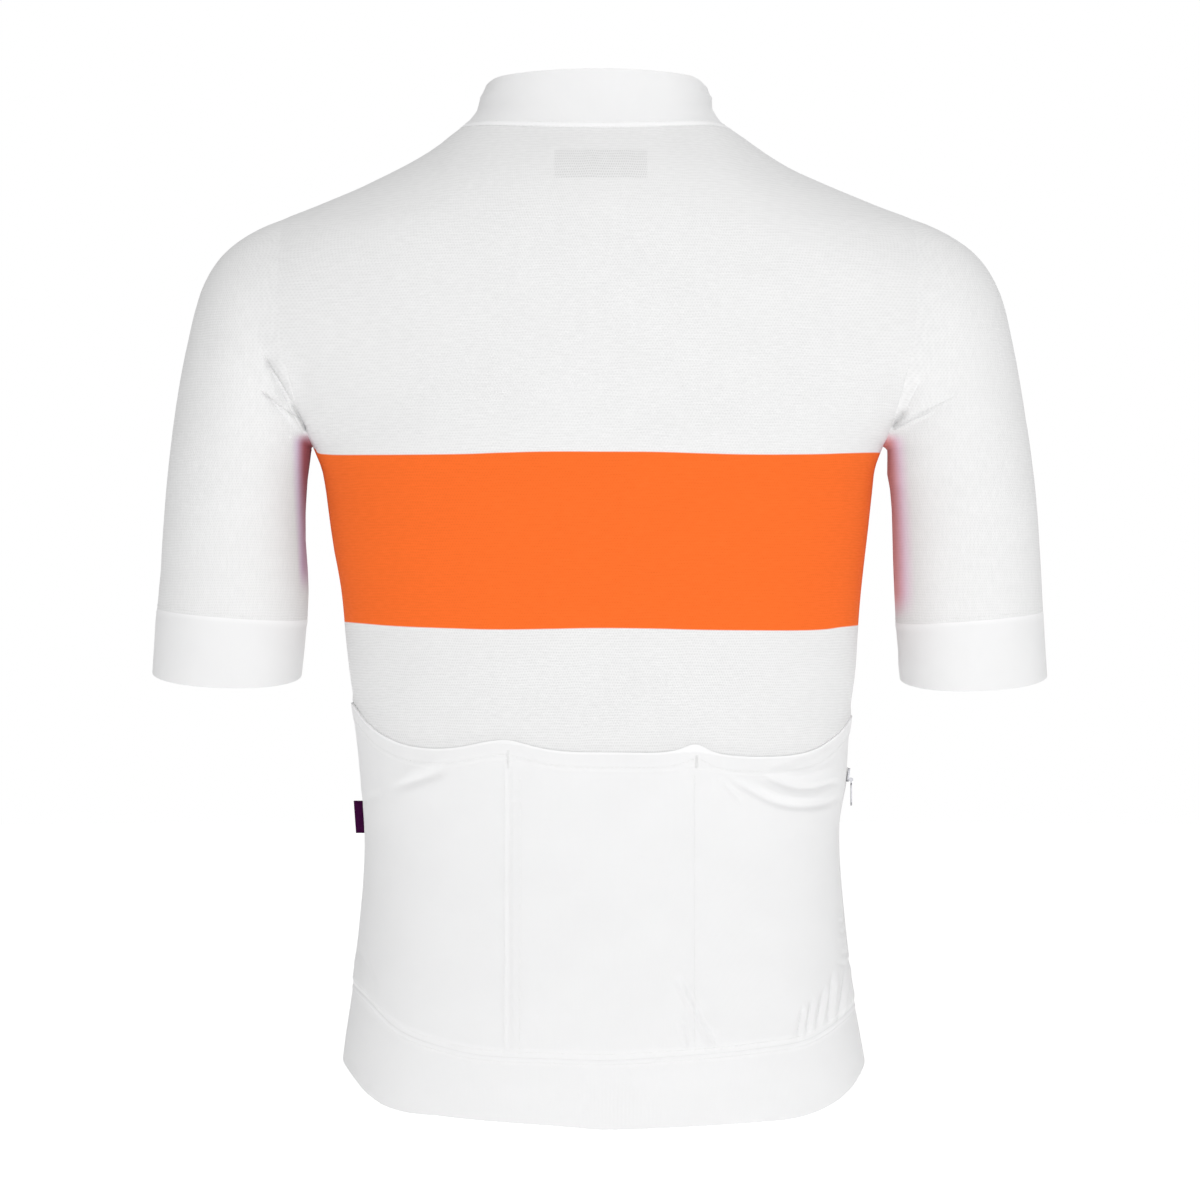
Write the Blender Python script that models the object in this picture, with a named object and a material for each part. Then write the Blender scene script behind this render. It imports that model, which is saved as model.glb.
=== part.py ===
"""Short-sleeved cycling jersey in its worn shape, hollow, with nobody in it.

Sizes are in millimetres, and MM turns them into metres where a mesh is made.
+Z is up. The back of the jersey faces -Y and the wearer's right side is +X.
The origin is in the middle of the neck at shoulder height.

The body is a stack of sections. Each section has a back half and a front half,
and each half runs from the side (across = 0) to the middle (across = 1). The
height of a section on the body is its level:
    below 0   millimetres below the underarm point
    0 to 1    up the armhole seam, from the underarm to the shoulder tip
    1 to 2    up the shoulder seam, from the shoulder tip to the neck seam
    2 to 3    up the collar, from the neck seam to its top edge
"""

import math

import bpy
import bmesh
import numpy as np
from mathutils import Matrix, Vector

MM = 0.001

BACK, FRONT = -1, 1
LEFT, RIGHT = -1, 1

# Cloth
KNIT = 1.2            # wall of the body and the sleeves
DOUBLED = 1.6         # wall of the collar, the cuffs and the hem band
POCKET_CLOTH = 1.1    # wall of the pocket panel
SEAM_GAP = 0.15       # each piece stops this far short of its seam line
LAY_GAP = 0.3         # air under a piece that lies on another

# Armhole and underarm
UNDERARM_HEIGHT = -208.0
PIVOT_OUT = 184.6     # underarm fold, distance from the middle of the body
PIVOT_HEIGHT = -210.0
FOLD_RADIUS = 2.0     # round of the underarm fold
RING_SQUARENESS = 2.1
BODY_SWAY = -1.5      # how far the chest and shoulders sit off the middle

# Zips and hem
ZIP_HALF = 7.0        # the front edges stop this far from the middle
FRONT_RISE_REACH = 175.0
HEM_BACK = -641.0     # bottom edge at the middle of the back
HEM_FRONT = -577.0    # bottom edge at the middle of the front
SEAM_BACK = -597.0    # top of the hem band at the middle of the back
SEAM_FRONT = -531.0
BOWL_POWER = 2.0      # how the upper back curves between the armholes
DIP_POWER = 1.6       # how a section bends down from its side to its middle

CURVE_SAMPLES = 220
SLOPE_STEP_RUN = 0.6      # steps between the points that give a surface's slope
SLOPE_STEP_HEIGHT = 1.0
SLOPE_STEP_LEVEL = 0.01


class Table:
    """Rows of sizes under column names, read smoothly between the rows."""

    def __init__(self, columns, rows):
        data = np.array(rows, dtype=float)
        self.keys = data[:, 0]
        self.columns = {name: data[:, i] for i, name in enumerate(columns)}
        self.slopes = {name: self._slopes(data[:, i]) for i, name in enumerate(columns)}

    def _slopes(self, values):
        steps = np.diff(self.keys)
        rates = np.diff(values) / steps
        slopes = np.zeros_like(values)
        slopes[0], slopes[-1] = rates[0], rates[-1]
        for i in range(1, len(values) - 1):
            before, after = rates[i - 1], rates[i]
            if before * after > 0:
                near = 2 * steps[i] + steps[i - 1]
                far = steps[i] + 2 * steps[i - 1]
                slopes[i] = (near + far) / (near / before + far / after)
        return slopes

    def read(self, key, name):
        key = min(max(key, self.keys[0]), self.keys[-1])
        i = int(min(np.searchsorted(self.keys, key, side="right") - 1, len(self.keys) - 2))
        step = self.keys[i + 1] - self.keys[i]
        t = (key - self.keys[i]) / step
        low, high = self.columns[name][i], self.columns[name][i + 1]
        slope_low, slope_high = self.slopes[name][i], self.slopes[name][i + 1]
        return (low * (1 + 2 * t) * (1 - t) ** 2 + high * t * t * (3 - 2 * t)
                + step * (slope_low * t * (1 - t) ** 2 - slope_high * t * t * (1 - t)))


# Body below the underarm: half breadth, sideways sway, depth to the back and the front
TORSO = Table(("height", "reach", "sway", "back", "front", "square"), [
    (-660, 172.5, 2.0, 107.0, 103.0, 2.45),
    (-601, 170.0, 2.0, 105.0, 103.0, 2.45),
    (-566, 164.5, 1.6, 101.0, 101.0, 2.40),
    (-520, 158.6, 1.2, 94.0, 99.0, 2.40),
    (-457, 153.8, 1.6, 87.0, 98.0, 2.40),
    (-408, 158.2, 2.0, 87.5, 101.0, 2.40),
    (-364, 164.4, 1.5, 92.0, 105.0, 2.40),
    (-302, 169.7, 1.5, 101.0, 110.0, 2.45),
    (-242, 178.8, -0.6, 110.0, 115.0, 2.50),
    (-216, 182.8, -1.4, 113.0, 116.0, 2.50),
    (-208, 184.8, BODY_SWAY, 113.5, 116.0, 2.50),
])

# Chest and upper back between the armholes
CHEST = Table(("height", "back", "front", "square"), [
    (-208, 113.5, 116.0, 2.50),
    (-170, 114.0, 113.5, 2.40),
    (-140, 112.5, 108.0, 2.25),
    (-110, 109.5, 97.0, 2.10),
    (-80, 104.0, 90.0, 1.90),
    (-56, 98.0, 85.0, 1.75),
])

# Shoulder seam, from the shoulder tip (0) to the neck seam (1)
SHOULDER = Table(
    ("up", "reach", "height", "back_height", "back", "front_height", "front", "square"), [
        (0.00, 203.5, -56.0, -56.0, 98.0, -110.0, 97.0, 1.75),
        (0.17, 186.0, -48.2, -48.5, 95.3, -103.5, 94.6, 1.78),
        (0.33, 166.5, -39.8, -41.0, 92.0, -96.5, 91.5, 1.80),
        (0.50, 146.0, -30.6, -33.0, 87.5, -88.0, 87.0, 1.85),
        (0.67, 125.5, -21.3, -24.5, 81.5, -79.5, 82.0, 1.90),
        (0.85, 104.0, -10.9, -14.5, 72.5, -70.5, 76.8, 2.00),
        (1.00, 88.0, 0.5, -5.4, 62.0, -62.0, 72.0, 2.05),
    ])

# Collar, from the neck seam (0) to its top edge (1)
COLLAR = Table(
    ("up", "reach", "height", "back_height", "back", "front_height", "front", "square"), [
        (0.00, 88.0, 0.5, -5.4, 62.0, -62.0, 72.0, 2.05),
        (0.30, 80.5, 10.0, 6.5, 58.5, -50.0, 71.5, 2.05),
        (0.65, 76.3, 19.5, 20.0, 57.0, -38.0, 71.5, 2.10),
        (1.00, 73.0, 29.5, 33.3, 56.0, -25.0, 72.0, 2.15),
    ])

# Sleeve head: rings that fan out round the underarm fold, by their angle above level
SLEEVE_HEAD = Table(("angle", "reach", "back", "front", "bulge_back", "bulge_front"), [
    (0, 98.6, 53.0, 52.5, 0.0, 0.0),
    (11, 98.4, 53.0, 52.5, 0.0, 0.0),
    (22, 100.9, 53.2, 52.8, 0.0, 0.0),
    (33, 107.3, 53.6, 53.2, 0.0, 0.0),
    (43, 116.8, 54.3, 53.8, 0.0, 0.0),
    (51, 127.9, 55.2, 54.5, 0.0, 0.0),
    (58, 136.6, 56.3, 55.2, 0.0, 0.0),
    (64, 142.8, 57.5, 56.0, 0.5, 0.0),
    (70, 147.0, 59.3, 57.0, 2.0, 0.5),
    (76, 151.0, 61.5, 58.5, 5.0, 1.0),
    (83, 155.2, 64.0, 60.0, 9.0, 2.0),
])
HEAD_ANGLES = (83, 76, 70, 64, 58, 51, 43, 33, 22, 11, 0)
ARMHOLE_ANGLE = 83.0

# Sleeve and cuff below the underarm, by the drop from it
ARM = Table(("drop", "inner", "outer", "tilt", "dip", "lean", "back", "front"), [
    (0.0, 186.6, 283.2, 0.0, 0.0, 0.0, 53.0, 52.5),
    (28.0, 188.0, 285.8, 2.0, 0.5, 2.5, 52.5, 52.0),
    (56.0, 188.4, 287.6, 4.0, 1.5, 6.0, 51.5, 51.0),
    (84.0, 188.7, 288.4, 6.0, 2.2, 10.0, 50.3, 50.0),
    (105.7, 189.3, 288.7, 7.6, 3.0, 13.5, 49.0, 49.0),
    (126.0, 190.8, 290.2, 5.4, 6.0, 17.0, 48.0, 48.0),
    (145.0, 193.0, 291.8, 3.0, 9.0, 20.5, 46.5, 46.5),
])
SLEEVE_DROPS = (28.0, 56.0, 84.0)
CUFF_SEAM_DROP = 105.7
CUFF_DROPS = (126.0, 145.0)
CUFF_EXTRA_DROP = {LEFT: 0.0, RIGHT: 2.0}   # the right sleeve hangs lower,
EXTRA_DROP_START = 60.0                     # from this drop
EXTRA_DROP_RUN = 40.0                       # and over this length
FOLD_ROUNDNESS = 0.8

# Folds at the back of each underarm: they run out from it along one ring each
# angle of the ring, depth (minus stands out), where it starts and ends on the ring
UNDERARM_FOLDS = {
    LEFT: ((64, 3.6, 12.0, 74.0), (58, -1.6, 20.0, 66.0), (51, 2.8, 18.0, 56.0)),
    RIGHT: ((64, 2.6, 14.0, 80.0), (51, -1.2, 20.0, 66.0), (43, 2.0, 16.0, 62.0)),
}

# Rise of an edge above its height at the middle of the back, by the distance from the side
HEM_RISE = Table(("run", "left", "right"), [
    (0, 39.5, 37.6),
    (30, 36.5, 32.0),
    (50, 31.5, 24.4),
    (72, 20.2, 15.0),
    (90, 12.5, 8.6),
    (110, 8.6, 4.6),
    (160, 4.6, 2.5),
    (240, 0.0, 0.0),
])
SEAM_RISE = Table(("run", "left", "right"), [
    (0, 43.0, 31.0),
    (30, 39.5, 27.0),
    (52, 34.5, 22.0),
    (74, 22.5, 14.5),
    (95, 13.8, 9.0),
    (115, 8.5, 7.0),
    (150, 1.8, 4.0),
    (220, 0.0, 0.0),
])
POCKET_RISE = Table(("run", "left", "right"), [
    (0, 30.5, 23.0),
    (20, 29.0, 18.5),
    (33, 21.5, 13.0),
    (45, 14.5, 6.6),
    (58, 9.0, 1.4),
    (75, 3.4, -2.2),
    (95, 1.6, -3.3),
    (125, 1.4, -2.6),
    (180, 0.0, 0.0),
])

# Pocket panel: its top edge hangs between the side seams and two bar tacks
POCKET_TOP = -403.5
# side, distance from the middle, lift, spread
TACKS = ((LEFT, 61.5, 7.5, 20.0), (RIGHT, 61.5, 5.5, 10.0))
POCKET_HEM = 7.5      # depth of the turned hem along the top edge
POCKET_HEM_PROUD = 0.4
FOLD_END = 0.55       # height of a pocket fold at its ends, as a share of its middle

# Folds that stand out of the pocket panel, each a straight soft ridge
# out and height of its two ends, how far it stands out, its half width
POCKET_FOLDS = (
    (-128.0, -436.0, -104.0, -425.0, 1.8, 5.5),
    (84.0, -420.0, 128.0, -436.0, 2.2, 5.0),
    (106.0, -415.0, 132.0, -421.0, 2.0, 4.5),
    (47.0, -550.0, 72.0, -588.0, 1.8, 9.0),
)
POCKET_ROWS = (0.0, 7.5, 9.5, 16.0, 22.0, 28.0, 34.0, 44.0, 64.0, 92.0, 122.0, 146.0, 168.0)


def armhole_point(turn, depth_side, side):
    """Point of the armhole seam and its outward direction within the seam.

    turn runs from 0 at the underarm to 1 at the shoulder tip.
    """
    step = 1e-3
    here = _ring(ARMHOLE_ANGLE, math.pi * turn, depth_side, side)
    before = _ring(ARMHOLE_ANGLE, math.pi * (turn - step), depth_side, side)
    after = _ring(ARMHOLE_ANGLE, math.pi * (turn + step), depth_side, side)
    slope = math.radians(ARMHOLE_ANGLE)
    plane = np.array([side * math.sin(slope), 0.0, -math.cos(slope)])
    outward = np.cross(after - before, plane)
    middle = _ring_middle(ARMHOLE_ANGLE, side)
    if np.dot(outward, here - middle) < 0:
        outward = -outward
    return here, outward / np.linalg.norm(outward)


def _sway_at(angle):
    return BODY_SWAY * math.sin(math.radians(angle))


def _ring_middle(angle, side):
    slope = math.radians(angle)
    out = FOLD_RADIUS + SLEEVE_HEAD.read(angle, "reach") / 2
    return np.array([_sway_at(angle) + side * (PIVOT_OUT + out * math.cos(slope)),
                     0.0, PIVOT_HEIGHT + out * math.sin(slope)])


def _ring(angle, round_angle, depth_side, side, fold=0.0):
    """Point of a sleeve head ring; round_angle is 0 underneath and pi on top."""
    slope = math.radians(angle)
    reach = SLEEVE_HEAD.read(angle, "reach") - FOLD_RADIUS
    name = "back" if depth_side == BACK else "front"
    depth = SLEEVE_HEAD.read(angle, name)
    bulge = SLEEVE_HEAD.read(angle, "bulge_" + name)
    cosine, sine = math.cos(round_angle), math.sin(round_angle)
    power = 2 / RING_SQUARENESS
    along = reach / 2 * (1 - math.copysign(abs(cosine) ** power, cosine))
    deep = (depth - fold) * math.copysign(abs(sine) ** power, sine)
    push = bulge * math.sin(math.pi * min(max(along / reach, 0), 1))
    out = PIVOT_OUT + (FOLD_RADIUS + along) * math.cos(slope) + push * math.sin(slope)
    high = PIVOT_HEIGHT + (FOLD_RADIUS + along) * math.sin(slope) - push * math.cos(slope)
    return np.array([_sway_at(angle) + side * out, depth_side * deep, high])


def section(half, level, side):
    """Sizes of one half section: reach, sway, depths, heights, squareness, roundness."""
    name = "back" if half == BACK else "front"
    if level <= 0:
        height = UNDERARM_HEIGHT + level
        return dict(reach=TORSO.read(height, "reach"), sway=TORSO.read(height, "sway"),
                    end_deep=0.0, deep=TORSO.read(height, name), end_high=height,
                    high=height, square=TORSO.read(height, "square"), round=1.0)
    if level <= 1:
        end, _ = armhole_point(level, half, side)
        sway = _sway_at(ARMHOLE_ANGLE)
        high = end[2]
        if half == FRONT:
            drop = SHOULDER.read(0, "front_height") - UNDERARM_HEIGHT
            lift = SHOULDER.read(0, "height") - UNDERARM_HEIGHT
            high = UNDERARM_HEIGHT + (end[2] - UNDERARM_HEIGHT) * drop / lift
        return dict(reach=abs(end[0] - sway), sway=sway, end_deep=abs(end[1]),
                    deep=CHEST.read(high, name), end_high=end[2], high=high,
                    square=CHEST.read(end[2], "square"),
                    round=1 - math.sin(math.pi * level) ** 4)
    table, up = (SHOULDER, level - 1) if level <= 2 else (COLLAR, level - 2)
    return dict(reach=table.read(up, "reach"), sway=BODY_SWAY, end_deep=0.0,
                deep=table.read(up, name), end_high=table.read(up, "height"),
                high=table.read(up, name + "_height"),
                square=table.read(up, "square"), round=1.0)


CURVES = {}


def curve(half, side, level):
    """Half section as points from the side to the middle, with their distance run."""
    key = (half, side, round(level, 5))
    if key in CURVES:
        return CURVES[key]
    sizes = section(half, level, side)
    share = np.cos(np.linspace(0, math.pi / 2, CURVE_SAMPLES))
    power = sizes["square"]
    cut = 1 - (sizes["end_deep"] / sizes["deep"]) ** power
    oval = sizes["deep"] * np.clip(1 - cut * share ** power, 0, None) ** (1 / power)
    bowl = sizes["deep"] - (sizes["deep"] - sizes["end_deep"]) * share ** BOWL_POWER
    deep = sizes["round"] * oval + (1 - sizes["round"]) * bowl
    out = sizes["sway"] + side * sizes["reach"] * share
    flat = np.stack([out, half * deep], axis=1)
    run = np.concatenate([[0], np.cumsum(np.linalg.norm(np.diff(flat, axis=0), axis=1))])
    bend = np.sin(run / run[-1] * math.pi / 2) ** DIP_POWER
    high = sizes["end_high"] + (sizes["high"] - sizes["end_high"]) * bend
    points = np.column_stack([flat, high])
    run = np.concatenate([[0], np.cumsum(np.linalg.norm(np.diff(points, axis=0), axis=1))])
    CURVES[key] = (points, run)
    return CURVES[key]


def length(half, side, level):
    """Distance round a half section, from the side to the middle."""
    return curve(half, side, level)[1][-1]


def on_curve(half, side, level, run_out):
    points, run = curve(half, side, level)
    return np.array([np.interp(run_out, run, points[:, axis]) for axis in range(3)])


def body_point(half, side, level, run_out):
    """Point on the outside of the body and the way out of the cloth there.

    run_out is the distance round the section from the side.
    """
    total = length(half, side, level)
    run_out = min(max(run_out, 0.0), total)
    here = on_curve(half, side, level, run_out)
    low, high = max(run_out - SLOPE_STEP_RUN, 0), min(run_out + SLOPE_STEP_RUN, total)
    along = on_curve(half, side, level, high) - on_curve(half, side, level, low)
    if level <= 0:
        below, above = level - SLOPE_STEP_HEIGHT, min(level + SLOPE_STEP_HEIGHT, 0.0)
    else:
        below = max(level - SLOPE_STEP_LEVEL, math.ceil(level) - 1)
        above = min(level + SLOPE_STEP_LEVEL, math.ceil(level))
    share = run_out / total
    rise = (on_curve(half, side, above, share * length(half, side, above))
            - on_curve(half, side, below, share * length(half, side, below)))
    outward = side * half * np.cross(along, rise)
    return here, outward / np.linalg.norm(outward)


def side_name(side):
    return "left" if side == LEFT else "right"


def edge_height(back, front, rise, half, side, run_out):
    """Height of an edge that drops to the middle of the back and rises to the front."""
    if half == BACK:
        return back + rise.read(run_out, side_name(side))
    start = back + rise.read(0, side_name(side))
    turn = math.pi * min(run_out / FRONT_RISE_REACH, 1)
    return front + (start - front) * (1 + math.cos(turn)) / 2


def hem_height(half, side, run_out):
    return edge_height(HEM_BACK, HEM_FRONT, HEM_RISE, half, side, run_out)


def seam_height(half, side, run_out):
    return edge_height(SEAM_BACK, SEAM_FRONT, SEAM_RISE, half, side, run_out)


def seam_height_at(half, side, share, stop):
    """Hem seam height at a share of the way round from the side to the middle."""
    level = (SEAM_BACK if half == BACK else SEAM_FRONT) - UNDERARM_HEIGHT
    return seam_height(half, side, share * (length(half, side, level) - stop))


def pocket_height(side, run_out, out):
    height = POCKET_TOP + POCKET_RISE.read(run_out, side_name(side))
    for tack_side, place, lift, spread in TACKS:
        height += lift * math.exp(-((out - tack_side * place) / spread) ** 2)
    return height


def column_shares(count):
    """Shares from the side (0) to the middle (1), closer together near the side."""
    return np.linspace(0, 1, count) ** COLUMN_CROWDING


def body_columns(sides, count, stop=0.0):
    """Columns of a body grid, each as (side, share, stop).

    A share is 0 at the side and 1 at the middle. stop is what is left free at
    the middle. Given both sides, the columns run from left to right.
    """
    shares = column_shares(count)
    if len(sides) == 1:
        return [(sides[0], share, stop) for share in shares]
    first = [(LEFT, share, stop) for share in shares]
    second = [(RIGHT, share, stop) for share in shares[-2::-1]]
    return first + second


def column_run(half, side, level, share, stop):
    """Distance round from the side for a column, short of the seam and of stop."""
    total = length(half, side, level)
    return SEAM_GAP + share * (total - SEAM_GAP - stop)


def make_mesh_object(name, vertices, faces, material):
    mesh = bpy.data.meshes.new(name)
    mesh.from_pydata([tuple(v) for v in vertices], [], faces)
    work = bmesh.new()
    work.from_mesh(mesh)
    bmesh.ops.recalc_face_normals(work, faces=work.faces)
    bmesh.ops.triangulate(work, faces=work.faces, quad_method="SHORT_EDGE")
    work.to_mesh(mesh)
    work.free()
    mesh.materials.append(material)
    mesh.shade_smooth()
    mesh.set_sharp_from_angle(angle=math.radians(50))
    made = bpy.data.objects.new(name, mesh)
    bpy.context.scene.collection.objects.link(made)
    return made


def wall(name, outer, inner, material, tube=False):
    """Closed cloth wall between two grids of points; tube joins its first and last column."""
    outer = np.asarray(outer)
    inner = np.asarray(inner)
    rows, columns = outer.shape[:2]
    vertices = np.concatenate([outer.reshape(-1, 3), inner.reshape(-1, 3)]) * MM
    under = rows * columns

    def at(row, column, layer):
        return layer * under + row * columns + column % columns

    faces = []
    last = columns if tube else columns - 1
    for row in range(rows - 1):
        for column in range(last):
            for layer in (0, 1):
                quad = [at(row, column, layer), at(row, column + 1, layer),
                        at(row + 1, column + 1, layer), at(row + 1, column, layer)]
                faces.append(quad if layer == 0 else quad[::-1])
    for column in range(last):
        for row, turn in ((0, 1), (rows - 1, -1)):
            rim = [at(row, column, 0), at(row, column, 1),
                   at(row, column + 1, 1), at(row, column + 1, 0)]
            faces.append(rim[::turn])
    if not tube:
        for row in range(rows - 1):
            for column, turn in ((0, -1), (columns - 1, 1)):
                rim = [at(row, column, 0), at(row, column, 1),
                       at(row + 1, column, 1), at(row + 1, column, 0)]
                faces.append(rim[::turn])
    return make_mesh_object(name, vertices, faces, material)


def finish(name, colour, roughness, metallic=0.0):
    material = bpy.data.materials.new(name)
    material.use_nodes = True
    shader = material.node_tree.nodes["Principled BSDF"]
    shader.inputs["Base Color"].default_value = (*colour, 1.0)
    shader.inputs["Roughness"].default_value = roughness
    shader.inputs["Metallic"].default_value = metallic
    return material


# --------------------------------------------------------------------------
# Body panels


COLUMN_CROWDING = 1.3
BACK_COLUMNS = 15      # columns of each half of the back, its pocket panel and hem band
FRONT_COLUMNS = 12     # columns of each front
LOWER_ROWS = {         # rows from the hem seam (0) towards the underarm (1)
    BACK: (0.0, 0.05, 0.10, 0.15, 0.20, 0.25, 0.30, 0.35, 0.40, 0.45, 0.50, 0.58, 0.67, 0.76, 0.85, 0.94),
    FRONT: (0.0, 0.1, 0.2, 0.3, 0.4, 0.5, 0.6, 0.7, 0.8, 0.9),
}
ARMHOLE_STEPS = 12
SHOULDER_LEVELS = (1.25, 1.5, 1.75, 2.0)


def panel_grid(half, columns, thickness):
    """Outer and inner points of a body panel, from the hem seam to the neck."""
    outer, inner = [], []
    for row in LOWER_ROWS[half]:
        line = [lower_place(half, column, row) for column in columns]
        outer.append([here for here, _ in line])
        inner.append([here - thickness * out for here, out in line])
    for step in range(ARMHOLE_STEPS + 1):
        line = [chest_place(half, column, step / ARMHOLE_STEPS) for column in columns]
        outer.append([here for here, _ in line])
        inner.append([here - thickness * out for here, out in line])
    for level in SHOULDER_LEVELS:
        line = [plain_place(half, column, level) for column in columns]
        outer.append([here for here, _ in line])
        inner.append([here - thickness * out for here, out in line])
    return outer, inner


def lower_place(half, column, row):
    """row is 0 at the hem seam and 1 at the underarm."""
    side, share, stop = column
    bottom = seam_height_at(half, side, share, stop) + SEAM_GAP
    level = (bottom - UNDERARM_HEIGHT) * (1 - row)
    return body_point(half, side, level, column_run(half, side, level, share, stop))


def plain_place(half, column, level):
    side, share, stop = column
    return body_point(half, side, level, column_run(half, side, level, share, stop))


def chest_place(half, column, level):
    side, share, stop = column
    if share > 0:
        return plain_place(half, column, level)
    here, outward = armhole_point(level, half, side)
    here = here - np.array([side * SEAM_GAP, 0, 0])
    if level == 0 or level == 1:
        here[1] += half * SEAM_GAP
    return here, outward


def build_back(material):
    columns = body_columns((LEFT, RIGHT), BACK_COLUMNS)
    outer, inner = panel_grid(BACK, columns, KNIT)
    return wall("back_panel", outer, inner, material)


def build_front(side, material):
    columns = body_columns((side,), FRONT_COLUMNS, ZIP_HALF)
    outer, inner = panel_grid(FRONT, columns, KNIT)
    return wall("front_" + side_name(side), outer, inner, material)


# --------------------------------------------------------------------------
# Pieces that go all the way round: the collar and the hem band


def round_columns(count_front, count_back):
    """Columns from the left of the front zip round the back to the right of it."""
    front = column_shares(count_front)
    back = column_shares(count_back)
    columns = [(FRONT, LEFT, share) for share in front[::-1]]
    columns += [(BACK, LEFT, share) for share in back[1:]]
    columns += [(BACK, RIGHT, share) for share in back[-2:0:-1]]
    columns += [(FRONT, RIGHT, share) for share in front]
    return columns


COLLAR_ROWS = (0.0, 0.3, 0.65, 1.0)
COLLAR_FOOT = 0.001      # the foot of the collar slopes as the collar does, not as the shoulder
COLLAR_FRONT_COLUMNS = 10
COLLAR_BACK_COLUMNS = 12
HEM_BAND_ROWS = (0.0, 0.35, 0.7, 1.0)


def round_run(half, side, level, share):
    stop = ZIP_HALF if half == FRONT else 0.0
    return share * (length(half, side, level) - stop)


def build_collar(material):
    outer, inner = [], []
    for up in COLLAR_ROWS:
        outer_row, inner_row = [], []
        for half, side, share in round_columns(COLLAR_FRONT_COLUMNS, COLLAR_BACK_COLUMNS):
            level = 2 + max(up, COLLAR_FOOT)
            here, out = body_point(half, side, level, round_run(half, side, level, share))
            here = here + np.array([0, 0, 2 * SEAM_GAP if up == 0 else 0])
            outer_row.append(here)
            inner_row.append(here - DOUBLED * out)
        outer.append(outer_row)
        inner.append(inner_row)
    return wall("collar", outer, inner, material)


def build_hem_band(material):
    outer, inner = [], []
    for up in HEM_BAND_ROWS:
        outer_row, inner_row = [], []
        for half, side, share in round_columns(FRONT_COLUMNS, BACK_COLUMNS):
            stop = ZIP_HALF if half == FRONT else 0.0
            reference = (HEM_BACK if half == BACK else HEM_FRONT) - UNDERARM_HEIGHT
            bottom = hem_height(half, side, round_run(half, side, reference, share))
            top = seam_height_at(half, side, share, stop) - SEAM_GAP
            level = bottom + up * (top - bottom) - UNDERARM_HEIGHT
            here, out = body_point(half, side, level, round_run(half, side, level, share))
            outer_row.append(here)
            inner_row.append(here - DOUBLED * out)
        outer.append(outer_row)
        inner.append(inner_row)
    return wall("hem_band", outer, inner, material)


# --------------------------------------------------------------------------
# Pocket panel, made from the back's points moved out


def segment_distance(point, start, end):
    """Distance from a line piece and how far along it the nearest place is."""
    run = end - start
    along = float(np.dot(point - start, run) / np.dot(run, run))
    nearest = start + min(max(along, 0), 1) * run
    return float(np.linalg.norm(point - nearest)), min(max(along, 0), 1)


def pocket_proud(out, height):
    """How far the folds lift the pocket panel at this place."""
    lift = 0.0
    for out_a, high_a, out_b, high_b, proud, width in POCKET_FOLDS:
        away, along = segment_distance(np.array([out, height]), np.array([out_a, high_a]),
                                       np.array([out_b, high_b]))
        crest = proud * (FOLD_END + (1 - FOLD_END) * math.sin(math.pi * along))
        lift = max(lift, crest * math.exp(-(away / width) ** 2))
    return lift


def pocket_place(column, depth_below_top):
    """Point of the back under the pocket panel, depth_below_top from 0 to 1 down it."""
    side, share, _ = column
    level = POCKET_TOP - UNDERARM_HEIGHT
    run_out = column_run(BACK, side, level, share, 0.0)
    out = on_curve(BACK, side, level, run_out)[0]
    top = pocket_height(side, run_out, out)
    bottom = seam_height_at(BACK, side, share, 0.0) + SEAM_GAP
    height = top + depth_below_top * (bottom - top)
    here_level = height - UNDERARM_HEIGHT
    return body_point(BACK, side, here_level, column_run(BACK, side, here_level, share, 0.0))


def build_pocket_panel(material):
    full = POCKET_TOP - SEAM_BACK
    outer, inner = [], []
    for depth in (full,) + POCKET_ROWS[::-1]:
        outer_row, inner_row = [], []
        for column in body_columns((LEFT, RIGHT), BACK_COLUMNS):
            here, out = pocket_place(column, depth / full)
            lift = pocket_proud(here[0], here[2]) if depth < full else 0.0
            hem = POCKET_HEM_PROUD if depth <= POCKET_HEM else 0.0
            inner_row.append(here + LAY_GAP * out)
            outer_row.append(here + (LAY_GAP + POCKET_CLOTH + lift + hem) * out)
        outer.append(outer_row)
        inner.append(inner_row)
    return wall("pocket_panel", outer, inner, material)


# --------------------------------------------------------------------------
# Sleeves and cuffs


RING_POINTS = 24


def underarm_fold(side, angle, along):
    """Depth of the fold that runs along this ring of the sleeve head."""
    for fold_angle, depth, start, stop in UNDERARM_FOLDS[side]:
        if fold_angle == angle:
            if start < along < stop:
                return depth * math.sin(math.pi * (along - start) / (stop - start)) ** FOLD_ROUNDNESS
    return 0.0


def head_ring(side, angle):
    ring = []
    reach = SLEEVE_HEAD.read(angle, "reach") - FOLD_RADIUS
    for i in range(RING_POINTS):
        turn = 2 * math.pi * i / RING_POINTS
        depth_side = BACK if turn <= math.pi else FRONT
        local = turn if turn <= math.pi else 2 * math.pi - turn
        along = reach / 2 * (1 - math.cos(local))
        fold = underarm_fold(side, angle, along) if depth_side == BACK else 0.0
        ring.append(_ring(angle, local, depth_side, side, fold))
    return ring


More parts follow.
